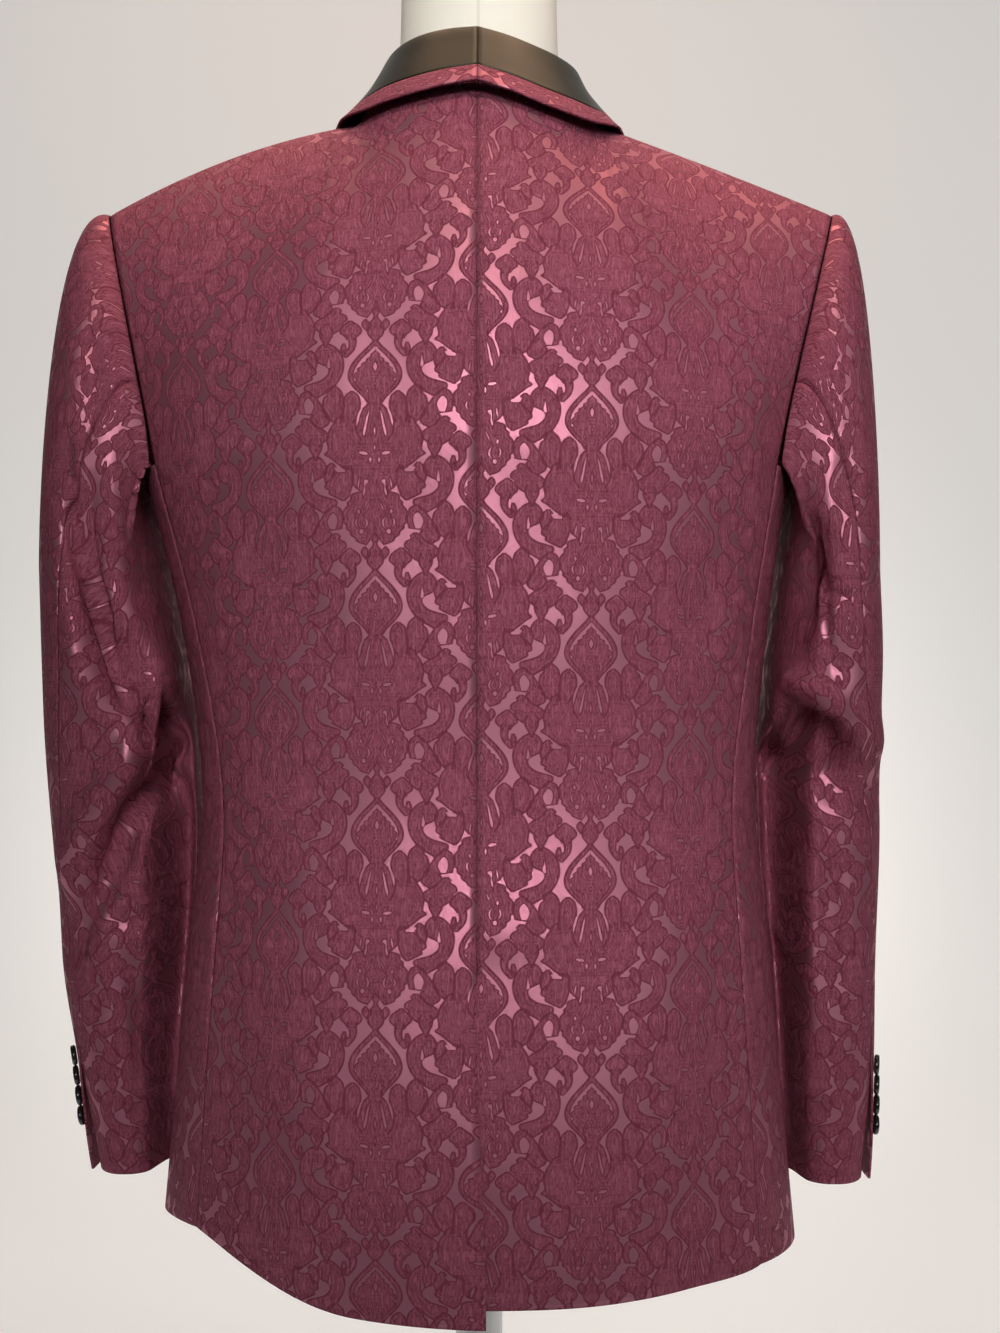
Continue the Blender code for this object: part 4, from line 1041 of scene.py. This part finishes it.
# Chart of the damask, in millimetres: V down from the ogee's tip, X out from the column's middle.
# Each shape: left edge (none where it lies on the middle), right edge, as (V, X) marks.
FIGURES = {
    "ogee": (None, [
        (0, 1), (3, 3.4), (6, 6.4), (10, 10.3), (14, 13.5), (18, 15.6), (21.5, 16.3), (25, 15.7), (29, 13.2),
        (33, 9.4), (36, 6.4), (38.5, 4.8)
    ]),
    "bell": (None, [
        (37.5, 4.4), (39, 3.9), (41, 5.4), (44, 8.6), (48, 10.8), (53, 11.4), (58, 10.4), (61.5, 8)
    ]),
    "leaf body": (None, [
        (47, 20), (49, 23.6), (51, 24.6), (54, 26.8), (58, 28.6), (62, 29.2), (66, 28.4), (68, 28.6),
        (70, 30.6), (71.4, 28), (73.5, 25.2), (76, 22), (78, 18.6), (79, 16.4)
    ]),
    "lower crown": (None, [
        (77, 15), (80, 13.2), (84, 13.8), (87, 13.4), (90, 11.4), (92, 8.8), (94, 7.4), (96, 7.2)
    ]),
    "shield": (None, [
        (92, 6.5), (93.5, 12.6), (95.5, 14.8), (96.8, 14.6), (99, 16.8), (100.4, 16.6), (103, 18.8),
        (106, 19.6), (108, 18.8), (110.5, 19.2), (112, 17.6), (114.5, 17.4), (116, 15.4), (118.4, 14.6),
        (120, 12.2), (122, 10.8), (123.4, 7.6), (124.4, 4.6)
    ]),
    "finial": (None, [
        (117, 0.2), (119, 1.4), (121, 2), (123, 1), (125, 1.6), (128, 3.6), (129.6, 3), (132, 4.6),
        (134.5, 4.8), (136.5, 3.6), (138, 2.2), (139.5, 1.2)
    ]),
    "finial curl": ([
        (125.5, 6), (127, 4.6), (129, 4.2), (131, 4.6), (132.6, 5.4)
    ], [
        (125.5, 6.6), (127, 8), (129, 8.4), (131, 7.2), (132.6, 5.7)
    ]),
    "inner lobe": ([
        (32, 13.2), (34, 10.6), (37, 9.2), (40, 8.8), (44, 9.4), (48, 11), (50.5, 13)
    ], [
        (32, 14.8), (34, 17.4), (37, 18.8), (41, 19.4), (45, 19.6), (50.5, 19)
    ]),
    "outer lobe": ([
        (28.5, 24.2), (30, 22.2), (32, 20.4), (35, 19.4), (40, 18.9), (45, 19.2), (51, 21)
    ], [
        (28.5, 25.8), (30, 28.4), (32, 29.6), (33.4, 28.8), (35, 30.6), (38, 31.8), (41, 32), (43.5, 31.8),
        (45, 30.4), (47, 29.8), (49, 27.4), (51, 24.8)
    ]),
    "side leaf": ([
        (77.5, 17), (80, 14), (84, 13.4), (88, 13.6), (92, 14.8), (95, 16), (97.4, 18.4)
    ], [
        (77.5, 19), (80, 22.8), (83, 25.6), (86, 28.8), (88, 30.4), (90, 30.2), (91.5, 27.8), (93, 28.2),
        (95, 25), (96, 23), (97.4, 19.8)
    ]),
    "side curl": ([
        (75.3, 25.6), (77, 24), (79, 24), (82, 25.4), (87, 27.4)
    ], [
        (75.3, 27.2), (77, 29.4), (80, 31), (83, 31.2), (87, 30.2)
    ]),
    "scroll": ([
        (1.4, 29.2), (3, 26.2), (5, 23.6), (8, 21.2), (11, 19.9), (15, 19.2), (19, 19.6), (23, 21),
        (26, 22.8), (29, 25.4), (31.5, 28.4), (33.5, 32), (35.2, 35)
    ], [
        (1.4, 31.8), (3, 34.2), (5, 36), (8, 37.2), (11, 37), (13, 35.6), (14.5, 33.2), (15.6, 30.6),
        (17, 28.8), (19, 28.2), (21, 28.8), (23, 30.6), (25, 34), (26.4, 38.6), (27.6, 42.6), (29.2, 43.8),
        (31, 42.8), (32, 40.4), (33.4, 39.4), (35.2, 36.2)
    ]),
    "hook": ([
        (100.6, 24.4), (102, 21.8), (104, 20.4), (107, 19.6), (110, 19.6), (113, 20.6), (114.6, 22.2),
        (115.2, 27.4), (117, 27), (119, 27.8), (121, 29.4), (123.4, 32.6)
    ], [
        (100.6, 25.8), (103, 29), (106, 31.6), (109, 33.8), (112, 35.8), (115, 37.6), (118, 39), (120, 39.2),
        (122, 37.6), (123.4, 35)
    ]),
    "cluster": ([
        (117.4, 23.4), (119, 21.4), (120.6, 22.2), (122, 19.4), (124, 17.8), (126, 18.4), (127.4, 20.4),
        (129, 20), (131, 21.4), (133, 24), (134.4, 26.4)
    ], [
        (117.4, 25.2), (119, 27.8), (121, 29.4), (123, 32.2), (125, 36), (127, 38.2), (129, 38.6), (131, 37),
        (133, 34.6), (134.4, 33)
    ]),
    "bud": ([
        (130, 27.8), (133, 26.6), (136, 26.9), (139, 28.6), (142.4, 30.4)
    ], [
        (130, 33.6), (133, 34.8), (136, 34.4), (139, 32.8), (142.4, 31.2)
    ]),
    "trumpet": ([
        (126.3, 15), (128, 12.4), (129.5, 10.4), (131.5, 8.9), (133.5, 8.7), (135, 9.8), (136.5, 11.6),
        (138, 13.2)
    ], [
        (126.3, 16.8), (128, 18.8), (130, 20.8), (132, 21.8), (134, 21.6), (135.5, 19.6), (138, 17.6)
    ]),
    "stem": ([
        (135.5, 12.2), (139, 11.8), (142, 12), (145, 13.2), (147, 14.8), (149.4, 17.2)
    ], [
        (135.5, 17.4), (139, 16.4), (142, 16), (144, 16.6), (145.4, 19), (147.2, 20.8), (149.4, 18.6)
    ]),
    "stem tip": ([
        (141, 18.8), (143, 18.2), (145, 18.2), (147.5, 18.6)
    ], [
        (141, 20), (143, 21), (145, 21.3), (147.5, 20.6)
    ]),
}
GROUND = {
    "frame gap": ([
        (3, -0.2), (6.4, -0.2), (7.4, 0.6), (9, 2.6), (10.4, 2.6), (12, 5.2), (13.2, 5), (15, 8.2),
        (16.2, 7.8), (18, 10.6), (19.4, 10.2), (21.4, 12.4), (23.4, 12.2), (24.6, 10.8), (26.4, 12),
        (28, 10.8), (30, 9.2), (31.2, 7.8), (33, 7), (35, 4.6), (37, 3)
    ], [
        (3, 0.4), (4.5, 1.8), (7, 4.1), (10, 7.1), (14, 10.4), (18, 12.7), (21.5, 13.5), (25, 13), (29, 10.8),
        (32, 7.9), (35, 4.9), (37, 3.2)
    ]),
    "diamond": (None, [(13.2, 0.3), (16.5, 1.7), (20, 0.3)]),
    "eye": (None, [(26, 0.2), (27.2, 1), (28.4, 0.2)]),
    "palmette slit": ([(29.6, 4.4), (31.5, 3.9), (33.6, 3.8)], [(29.6, 4.9), (31.5, 5.3), (33.6, 4.4)]),
    "bell slit": ([
        (42, 2.6), (50, 3.9), (58, 5.6), (60, 6.5)
    ], [
        (42, 3.3), (46, 4.9), (52, 6.4), (58, 7.5), (60, 6.9)
    ]),
    "bell side": ([
        (40.3, 6), (46, 8.2), (52, 9.9), (54.5, 10.7)
    ], [
        (40.3, 7.6), (44, 9.8), (48, 11.2), (52, 11.5), (54.5, 11.1)
    ]),
    "bell middle": (None, [(52, 0.2), (56, 0.9), (60, 0.2)]),
    "seed": (None, [(63.4, 0.2), (66, 0.8), (69, 0.2)]),
    "dot": ([(71, 2.4), (73.2, 1.4), (75.8, 2.4)], [(71, 2.9), (73.2, 3.9), (75.8, 3)]),
    "dash": ([(68, 6.4), (69.2, 3.7), (70.9, 4.4)], [(68, 8.8), (69.2, 10.2), (70.9, 7)]),
    "leaf dash": ([(77.3, 21.6), (78.6, 18.2), (81, 17.8)], [(77.3, 25.4), (78.6, 25), (81, 23)]),
    "crown hook": ([
        (84.8, 4.8), (86.4, 3.2), (88, 4.9), (92, 5.3), (95, 6.2)
    ], [
        (84.8, 6.6), (87, 7), (90, 6.9), (93, 7.6), (95, 7.7)
    ]),
    "crown slit": ([(83.6, 8.6), (87, 8.8), (91, 9.8)], [(83.6, 9.6), (87, 10.7), (91, 10.7)]),
    "volute in": ([
        (106.6, 6.6), (109, 4.4), (111, 3.8), (113, 4.3), (115.6, 6.8)
    ], [
        (106.6, 7.6), (109, 6.3), (111, 5.8), (113, 6.2), (115.6, 7.8)
    ]),
    "volute out": ([
        (107.4, 9.4), (109, 10.5), (111, 10.8), (113, 10.2), (115.8, 7.2)
    ], [
        (107.4, 10.6), (109, 12.2), (111, 12.7), (113, 11.9), (115.8, 8.6)
    ]),
    "volute drop": ([(114.4, 7.6), (116.2, 6.5), (118, 7.6)], [(114.4, 9), (116.2, 10.2), (118, 9.1)]),
    "shield slit": ([(97, 2), (101, 3.3), (106, 5.8)], [(97, 2.8), (101, 4.9), (106, 6.6)]),
    "shield star": ([(102.4, 9.8), (104.4, 8.6), (106.2, 9.6)], [(102.4, 10.4), (104.4, 11.2), (106.2, 10)]),
    "notch": ([
        (113, -0.2), (117, 0.2), (119, 1.4), (121, 2), (123, 1), (125, 1.6), (126, 2)
    ], [
        (113, 0.2), (116, 1.1), (119, 2.3), (122, 3.7), (124.5, 5.6), (126, 6.2)
    ]),
    "scroll slit": ([
        (9, 28.2), (12, 27.6), (15, 27.2), (17.5, 27)
    ], [
        (9, 28.9), (12, 29.3), (15, 30), (17.5, 29.4)
    ]),
    "arch": ([
        (104.6, 25.2), (106.2, 23.6), (109, 22.8), (112, 23.2), (115, 24.2)
    ], [
        (104.6, 26.6), (107, 28.6), (110, 29.8), (112.5, 29.2), (115, 27.8)
    ]),
}


def marks_at(marks, places):
    """Smooth line through a few marks, read at many places."""
    keys = np.array([place for place, out in marks], dtype=float)
    outs = np.array([out for place, out in marks], dtype=float)
    return follow(np.stack([keys, outs], axis=1), 1, places)


# Left limit of a shape that lies on the middle, least room between shapes of a layer, half step of a
# slant, and farthest distance that is told apart, all in millimetres
LEFT_LIMIT = -20.0
LAYER_ROOM = 2.5
SLANT_STEP = 0.3
FARTHEST = 30.0


def chart_layers(shapes):
    """Put the charted shapes on as few layers as will hold them side by side down the repeat."""
    copies = []
    for left, right in shapes.values():
        left = left or [(right[0][0], LEFT_LIMIT), (right[-1][0], LEFT_LIMIT)]
        copies.append((left, right))
        if max(out for place, out in right) > COLUMN / 2:
            across = [[(v + REPEAT / 2, COLUMN - x) for v, x in edge] for edge in (right, left)]
            copies.append(tuple(across))
    layers = []
    for left, right in sorted(copies, key=lambda edges: edges[0][0][0] % REPEAT):
        start, end = left[0][0] % REPEAT, left[0][0] % REPEAT + right[-1][0] - right[0][0]
        for layer in layers:
            if all(start > b + LAYER_ROOM and end < a + REPEAT - LAYER_ROOM for a, b, edges in layer):
                layer.append((start, end, (left, right)))
                break
        else:
            layers.append([(start, end, (left, right))])
    return layers


# Marks down the repeat on each line of a layer
STEPS = 254


def layer_curves(layer):
    """Lines of one layer down the repeat: its edges, their slants, and the distance to a shape's ends."""
    places = np.linspace(0.0, REPEAT, STEPS)
    edges = np.zeros((2, STEPS))
    slants = np.ones((2, STEPS))
    beyond = np.full(STEPS, np.inf)
    for start, end, sides in layer:
        for turn in (-REPEAT, 0.0, REPEAT):
            off = np.maximum(start - turn - places, places - end + turn)
            closer = off < beyond
            beyond = np.where(closer, off, beyond)
            for k, marks in enumerate(sides):
                shift = marks[0][0] - start + turn
                spots = places + shift
                line = marks_at(marks, spots)
                slope = marks_at(marks, spots + SLANT_STEP) - marks_at(marks, spots - SLANT_STEP)
                slope = slope / (2.0 * SLANT_STEP)
                edges[k] = np.where(closer, line, edges[k])
                slants[k] = np.where(closer, 1.0 / np.sqrt(1.0 + slope ** 2), slants[k])
    return places, edges, slants, np.minimum(beyond, FARTHEST)


def layer_distance(n, x, v, layer):
    """Distance outside the layer's shapes, and distance from their side edges."""
    places, edges, slants, beyond = layer_curves(layer)
    near = n.maths("SUBTRACT", n.line(v, places, edges[0]), x)
    near = n.maths("MULTIPLY", near, n.line(v, places, slants[0]))
    far = n.maths("SUBTRACT", x, n.line(v, places, edges[1]))
    far = n.maths("MULTIPLY", far, n.line(v, places, slants[1]))
    side = n.maths("MAXIMUM", near, far)
    ends = n.line(v, places, beyond)
    return n.maths("MAXIMUM", side, ends), n.maths("MAXIMUM", n.maths("ABSOLUTE", side), ends)


def new_group(name, inputs, outputs):
    tree = bpy.data.node_groups.new(name, "ShaderNodeTree")
    for word, kind in inputs:
        tree.interface.new_socket(word, in_out="INPUT", socket_type=kind)
    for word, kind in outputs:
        tree.interface.new_socket(word, in_out="OUTPUT", socket_type=kind)
    start = tree.nodes.new("NodeGroupInput")
    end = tree.nodes.new("NodeGroupOutput")
    return tree, start.outputs, end.inputs


def damask_figure():
    """Figure of the damask, and the dark lines round its leaves, from the cloth's own coordinates."""
    tree, inputs, outputs = new_group("damask figure", [("Cloth", "NodeSocketVector")],
                                      [("Figure", "NodeSocketFloat"), ("Outline", "NodeSocketFloat")])
    n = Nodes(tree)
    split = tree.nodes.new("ShaderNodeSeparateXYZ")
    tree.links.new(inputs[0], split.inputs[0])
    across = n.maths("MULTIPLY", split.outputs[0], 1000.0)
    down = n.maths("MULTIPLY", split.outputs[1], -1000.0)
    column = n.maths("ROUND", n.maths("DIVIDE", across, COLUMN))
    x = n.maths("ABSOLUTE", n.maths("MULTIPLY_ADD", column, -COLUMN, across))
    odd = n.maths("PINGPONG", column, 1.0)
    v = n.maths("WRAP", n.maths("MULTIPLY_ADD", odd, REPEAT / 2, down), REPEAT, 0.0)
    figures = [layer_distance(n, x, v, layer) for layer in chart_layers(FIGURES)]
    grounds = [layer_distance(n, x, v, layer) for layer in chart_layers(GROUND)]
    whole = n.least(*[outside for outside, edge in figures])
    gaps = n.maths("MULTIPLY", n.least(*[outside for outside, edge in grounds]), -1.0)
    body = n.maths("SUBTRACT", n.maths("MAXIMUM", whole, gaps), FIGURE_GROWTH)
    line = n.least(n.maths("ABSOLUTE", body), *[edge for outside, edge in figures])
    inside = n.between(body, *OUTLINE_WITHIN, 1.0, 0.0)
    tree.links.new(n.between(body, *FIGURE_EDGE, 1.0, 0.0), outputs[0])
    inner = n.maths("ABSOLUTE", n.maths("SUBTRACT", line, INNER_LINE))
    inner = n.between(inner, *INNER_WIDTH, INNER_WEIGHT, 0.0)
    drawn = n.maths("MAXIMUM", n.between(line, *OUTLINE_WIDTH, 1.0, 0.0), inner)
    tree.links.new(n.maths("MULTIPLY", drawn, inside), outputs[1])
    return tree


def new_material(name):
    material = bpy.data.materials.new(name)
    material.use_nodes = True
    tree = material.node_tree
    shader = tree.nodes["Principled BSDF"]
    return material, Nodes(tree), shader


def set_inputs(n, shader, **values):
    """Feed a shader's inputs, named with underscores for spaces, from nodes or with fixed values."""
    for name, value in values.items():
        socket = shader.inputs[name.replace("_", " ")]
        if hasattr(value, "is_output"):
            n.tree.links.new(value, socket)
        else:
            socket.default_value = value


def damask_material():
    """Silk damask: matte, crinkled figure with dark outlines on a satin ground."""
    material, n, shader = new_material("damask")
    tree = n.tree
    cloth = n.add("ShaderNodeUVMap", uv_map="cloth")
    figure = tree.nodes.new("ShaderNodeGroup")
    figure.node_tree = damask_figure()
    tree.links.new(cloth, figure.inputs[0])
    mask, outline = figure.outputs[0], figure.outputs[1]
    crinkle = n.noise(n.stretched(cloth, (620.0, 120.0, 1.0)), 1.0, 2.0, 0.6)
    vein = n.between(n.maths("ABSOLUTE", n.maths("SUBTRACT", crinkle, 0.5)), 0.006, 0.045, 1.0, 0.0)
    patches = n.noise(cloth, 9.0, 2.0, 0.5)
    weave = n.stripes(cloth, 0.9, 420.0)
    dark_line = (0.115, 0.011, 0.028)
    figure_colour = n.mix(crinkle, (0.170, 0.030, 0.058), (0.395, 0.124, 0.180))
    figure_colour = n.mix(n.maths("MULTIPLY", vein, 0.62), figure_colour, dark_line)
    ground_colour = n.mix(patches, (0.33, 0.112, 0.160), (0.47, 0.196, 0.262))
    colour = n.mix(mask, ground_colour, figure_colour)
    colour = n.mix(n.maths("MULTIPLY", outline, 0.58), colour, dark_line)
    roughness = n.between(mask, 0.0, 1.0, 0.48, 0.68)
    metallic = n.between(mask, 0.0, 1.0, 0.75, 0.05)
    raised = n.bump(n.maths("MULTIPLY_ADD", vein, -0.4, crinkle), 0.55, 0.0006)
    flat = n.bump(weave, 0.10, 0.0002)
    either = tree.nodes.new("ShaderNodeMix")
    either.data_type = "VECTOR"
    for socket, value in ((0, mask), (4, flat), (5, raised)):
        tree.links.new(value, either.inputs[socket])
    set_inputs(n, shader, Base_Color=colour, Roughness=roughness, Metallic=metallic, Normal=either.outputs[1],
               Specular_IOR_Level=0.14, Specular_Tint=(1.0, 0.70, 0.74, 1.0))
    return material


def satin_material():
    """Black satin with an olive cast in its shine."""
    material, n, shader = new_material("satin")
    cloth = n.add("ShaderNodeUVMap", uv_map="cloth")
    weave = n.stripes(cloth, 0.5, 380.0)
    soft = n.noise(n.stretched(cloth, (60.0, 25.0, 1.0)), 1.0, 2.0, 0.5)
    colour = n.mix(soft, (0.008, 0.008, 0.006), (0.017, 0.017, 0.013))
    roughness = n.between(soft, 0.2, 0.8, 0.38, 0.48)
    normal = n.bump(n.maths("MULTIPLY_ADD", weave, 0.3, soft), 0.25, 0.0002)
    set_inputs(n, shader, Base_Color=colour, Roughness=roughness, Normal=normal, Specular_IOR_Level=0.36,
               Specular_Tint=(0.92, 1.0, 0.86, 1.0), Sheen_Weight=0.04, Sheen_Roughness=0.35,
               Sheen_Tint=(0.85, 0.80, 0.66, 1.0))
    return material


def button_material():
    material, n, shader = new_material("button_black")
    place = n.add("ShaderNodeTexCoord", out=3)
    cloud = n.noise(place, 300.0, 2.0, 0.5)
    colour = n.mix(cloud, (0.006, 0.006, 0.006), (0.016, 0.015, 0.014))
    roughness = n.between(cloud, 0.2, 0.8, 0.10, 0.20)
    set_inputs(n, shader, Base_Color=colour, Roughness=roughness, Coat_Weight=0.5, Coat_Roughness=0.08)
    return material


def jersey_material():
    """Off-white knitted cover with fine ribs and a seam down the middle."""
    material, n, shader = new_material("jersey")
    tree = n.tree
    place = n.add("ShaderNodeTexCoord", out=3)
    ribs = n.add("ShaderNodeTexWave", place, 260.0, 1.5, 2.0)
    cloud = n.noise(place, 14.0, 3.0, 0.5)
    split = tree.nodes.new("ShaderNodeSeparateXYZ")
    tree.links.new(place, split.inputs[0])
    line = n.between(n.maths("ABSOLUTE", split.outputs[0]), 0.0004, 0.0016, 1.0, 0.0)
    colour = n.mix(cloud, (0.78, 0.765, 0.74), (0.86, 0.85, 0.83))
    colour = n.mix(n.maths("MULTIPLY", line, 0.35), colour, (0.55, 0.53, 0.50))
    height = n.maths("MULTIPLY_ADD", line, -1.0, n.maths("MULTIPLY", ribs, 0.3))
    set_inputs(n, shader, Base_Color=colour, Roughness=0.85, Normal=n.bump(height, 0.25, 0.0004))
    return material


def metal_material():
    material, n, shader = new_material("stand_metal")
    place = n.add("ShaderNodeTexCoord", out=3)
    cloud = n.noise(place, 60.0, 4.0, 0.6)
    colour = n.mix(cloud, (0.62, 0.62, 0.62), (0.74, 0.74, 0.73))
    set_inputs(n, shader, Base_Color=colour, Roughness=n.between(cloud, 0.2, 0.8, 0.32, 0.48), Metallic=0.7)
    return material


# Backdrop: front edge of its floor, length of the floor, radius of the sweep, height of the wall above
# it, half width, and the shares of its rows at which the floor ends and the wall starts
FLOOR_FRONT = -0.30
FLOOR_LENGTH = 0.75
SWEEP = 0.60
WALL_HEIGHT = 2.4
HALF_WIDTH = 1.4
FLOOR_SHARE = 0.5
SWEEP_SHARE = 0.7


def build_stage():
    """Pale floor that sweeps up into a pale, softly glowing backdrop, which shows from its front only."""
    form = bmesh.new()
    bmesh.ops.create_grid(form, x_segments=2, y_segments=40, size=1.0)
    for vert in form.verts:
        share = (vert.co.y + 1.0) / 2.0
        turn = min(max((share - FLOOR_SHARE) / (SWEEP_SHARE - FLOOR_SHARE), 0.0), 1.0) * math.pi / 2
        flat = min(share / FLOOR_SHARE, 1.0)
        rise = max((share - SWEEP_SHARE) / (1.0 - SWEEP_SHARE), 0.0)
        y = FLOOR_FRONT + FLOOR_LENGTH * flat + SWEEP * math.sin(turn)
        z = SWEEP * (1.0 - math.cos(turn)) + WALL_HEIGHT * rise
        vert.co = (vert.co.x * HALF_WIDTH, y, z)
    mesh = bpy.data.meshes.new("backdrop")
    form.to_mesh(mesh)
    form.free()
    mesh.shade_smooth()
    material, n, shader = new_material("backdrop")
    links = n.tree.links
    cloud = n.noise(n.add("ShaderNodeTexCoord", out=3), 1.6, 3.0, 0.5)
    set_inputs(n, shader, Base_Color=n.mix(cloud, (0.60, 0.60, 0.595), (0.64, 0.64, 0.635)), Roughness=0.9,
               Emission_Color=(0.95, 1.0, 1.0, 1.0), Emission_Strength=0.42)
    side = n.tree.nodes.new("ShaderNodeNewGeometry")
    clear = n.tree.nodes.new("ShaderNodeBsdfTransparent")
    choice = n.tree.nodes.new("ShaderNodeMixShader")
    links.new(side.outputs["Backfacing"], choice.inputs[0])
    links.new(shader.outputs[0], choice.inputs[1])
    links.new(clear.outputs[0], choice.inputs[2])
    links.new(choice.outputs[0], n.tree.nodes["Material Output"].inputs["Surface"])
    mesh.materials.append(material)
    piece = bpy.data.objects.new("backdrop", mesh)
    bpy.context.scene.collection.objects.link(piece)


# Camera: where it stands, and its focal length and half the picture's height in the photo's pixels
CAMERA_PLACE = (0.0144, -1.085, 0.56)
FOCAL_LENGTH = 1583.3
HALF_HEIGHT = 666.5
# Lamps: name, place, what it points at, size, watts, colour, angle of its beam
LAMPS = [
    ("window", (0.08, -1.6, 1.00), (0.03, -0.1, 0.58), (0.60, 0.75), 1.12, (1.0, 0.98, 0.99), 26.0),
    ("side window", (1.55, -1.4, 1.45), (0.05, -0.05, 0.66), (1.4, 1.4), 6.0, (1.0, 0.98, 0.98), 180.0),
    ("ceiling lamp", (0.10, 0.15, 2.0), (0.02, -0.05, 0.8), (1.2, 0.5), 12.5, (1.0, 0.60, 0.40), 180.0),
    ("neck lamp", (0.0, -0.9, 1.75), (0.0, 0.0, 1.10), (0.7, 0.5), 1.0, (1.0, 0.93, 0.75), 26.0),
]


def set_camera_and_light():
    scene = bpy.context.scene
    camera = bpy.data.cameras.new("camera")
    camera.sensor_fit = "VERTICAL"
    camera.angle_y = 2 * math.atan(HALF_HEIGHT / FOCAL_LENGTH)
    camera.clip_start = 0.05
    eye = bpy.data.objects.new("camera", camera)
    eye.location = CAMERA_PLACE
    eye.rotation_euler = (math.pi / 2, 0.0, 0.0)
    scene.collection.objects.link(eye)
    scene.camera = eye
    world = bpy.data.worlds.new("room")
    world.use_nodes = True
    world.node_tree.nodes["Background"].inputs[0].default_value = (0.96, 0.97, 1.0, 1.0)
    world.node_tree.nodes["Background"].inputs[1].default_value = 0.05
    scene.world = world
    for name, place, target, size, watts, colour, beam in LAMPS:
        light = bpy.data.lights.new(name, "AREA")
        light.shape = "RECTANGLE"
        light.size, light.size_y = size
        light.energy = watts
        light.color = colour
        light.spread = math.radians(beam)
        lamp = bpy.data.objects.new(name, light)
        lamp.location = place
        lamp.rotation_euler = (Vector(target) - Vector(place)).to_track_quat("-Z", "Y").to_euler()
        scene.collection.objects.link(lamp)
    scene.view_settings.view_transform = "Standard"


damask = damask_material()
satin = satin_material()
build_backs(damask)
build_fronts(damask)
build_sleeves(damask)
build_shawl(satin, damask)
build_buttons(button_material())
build_form(jersey_material())
metal = metal_material()
for node in ("post", "base"):
    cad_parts[node].data.materials[0] = metal
build_stage()
set_camera_and_light()
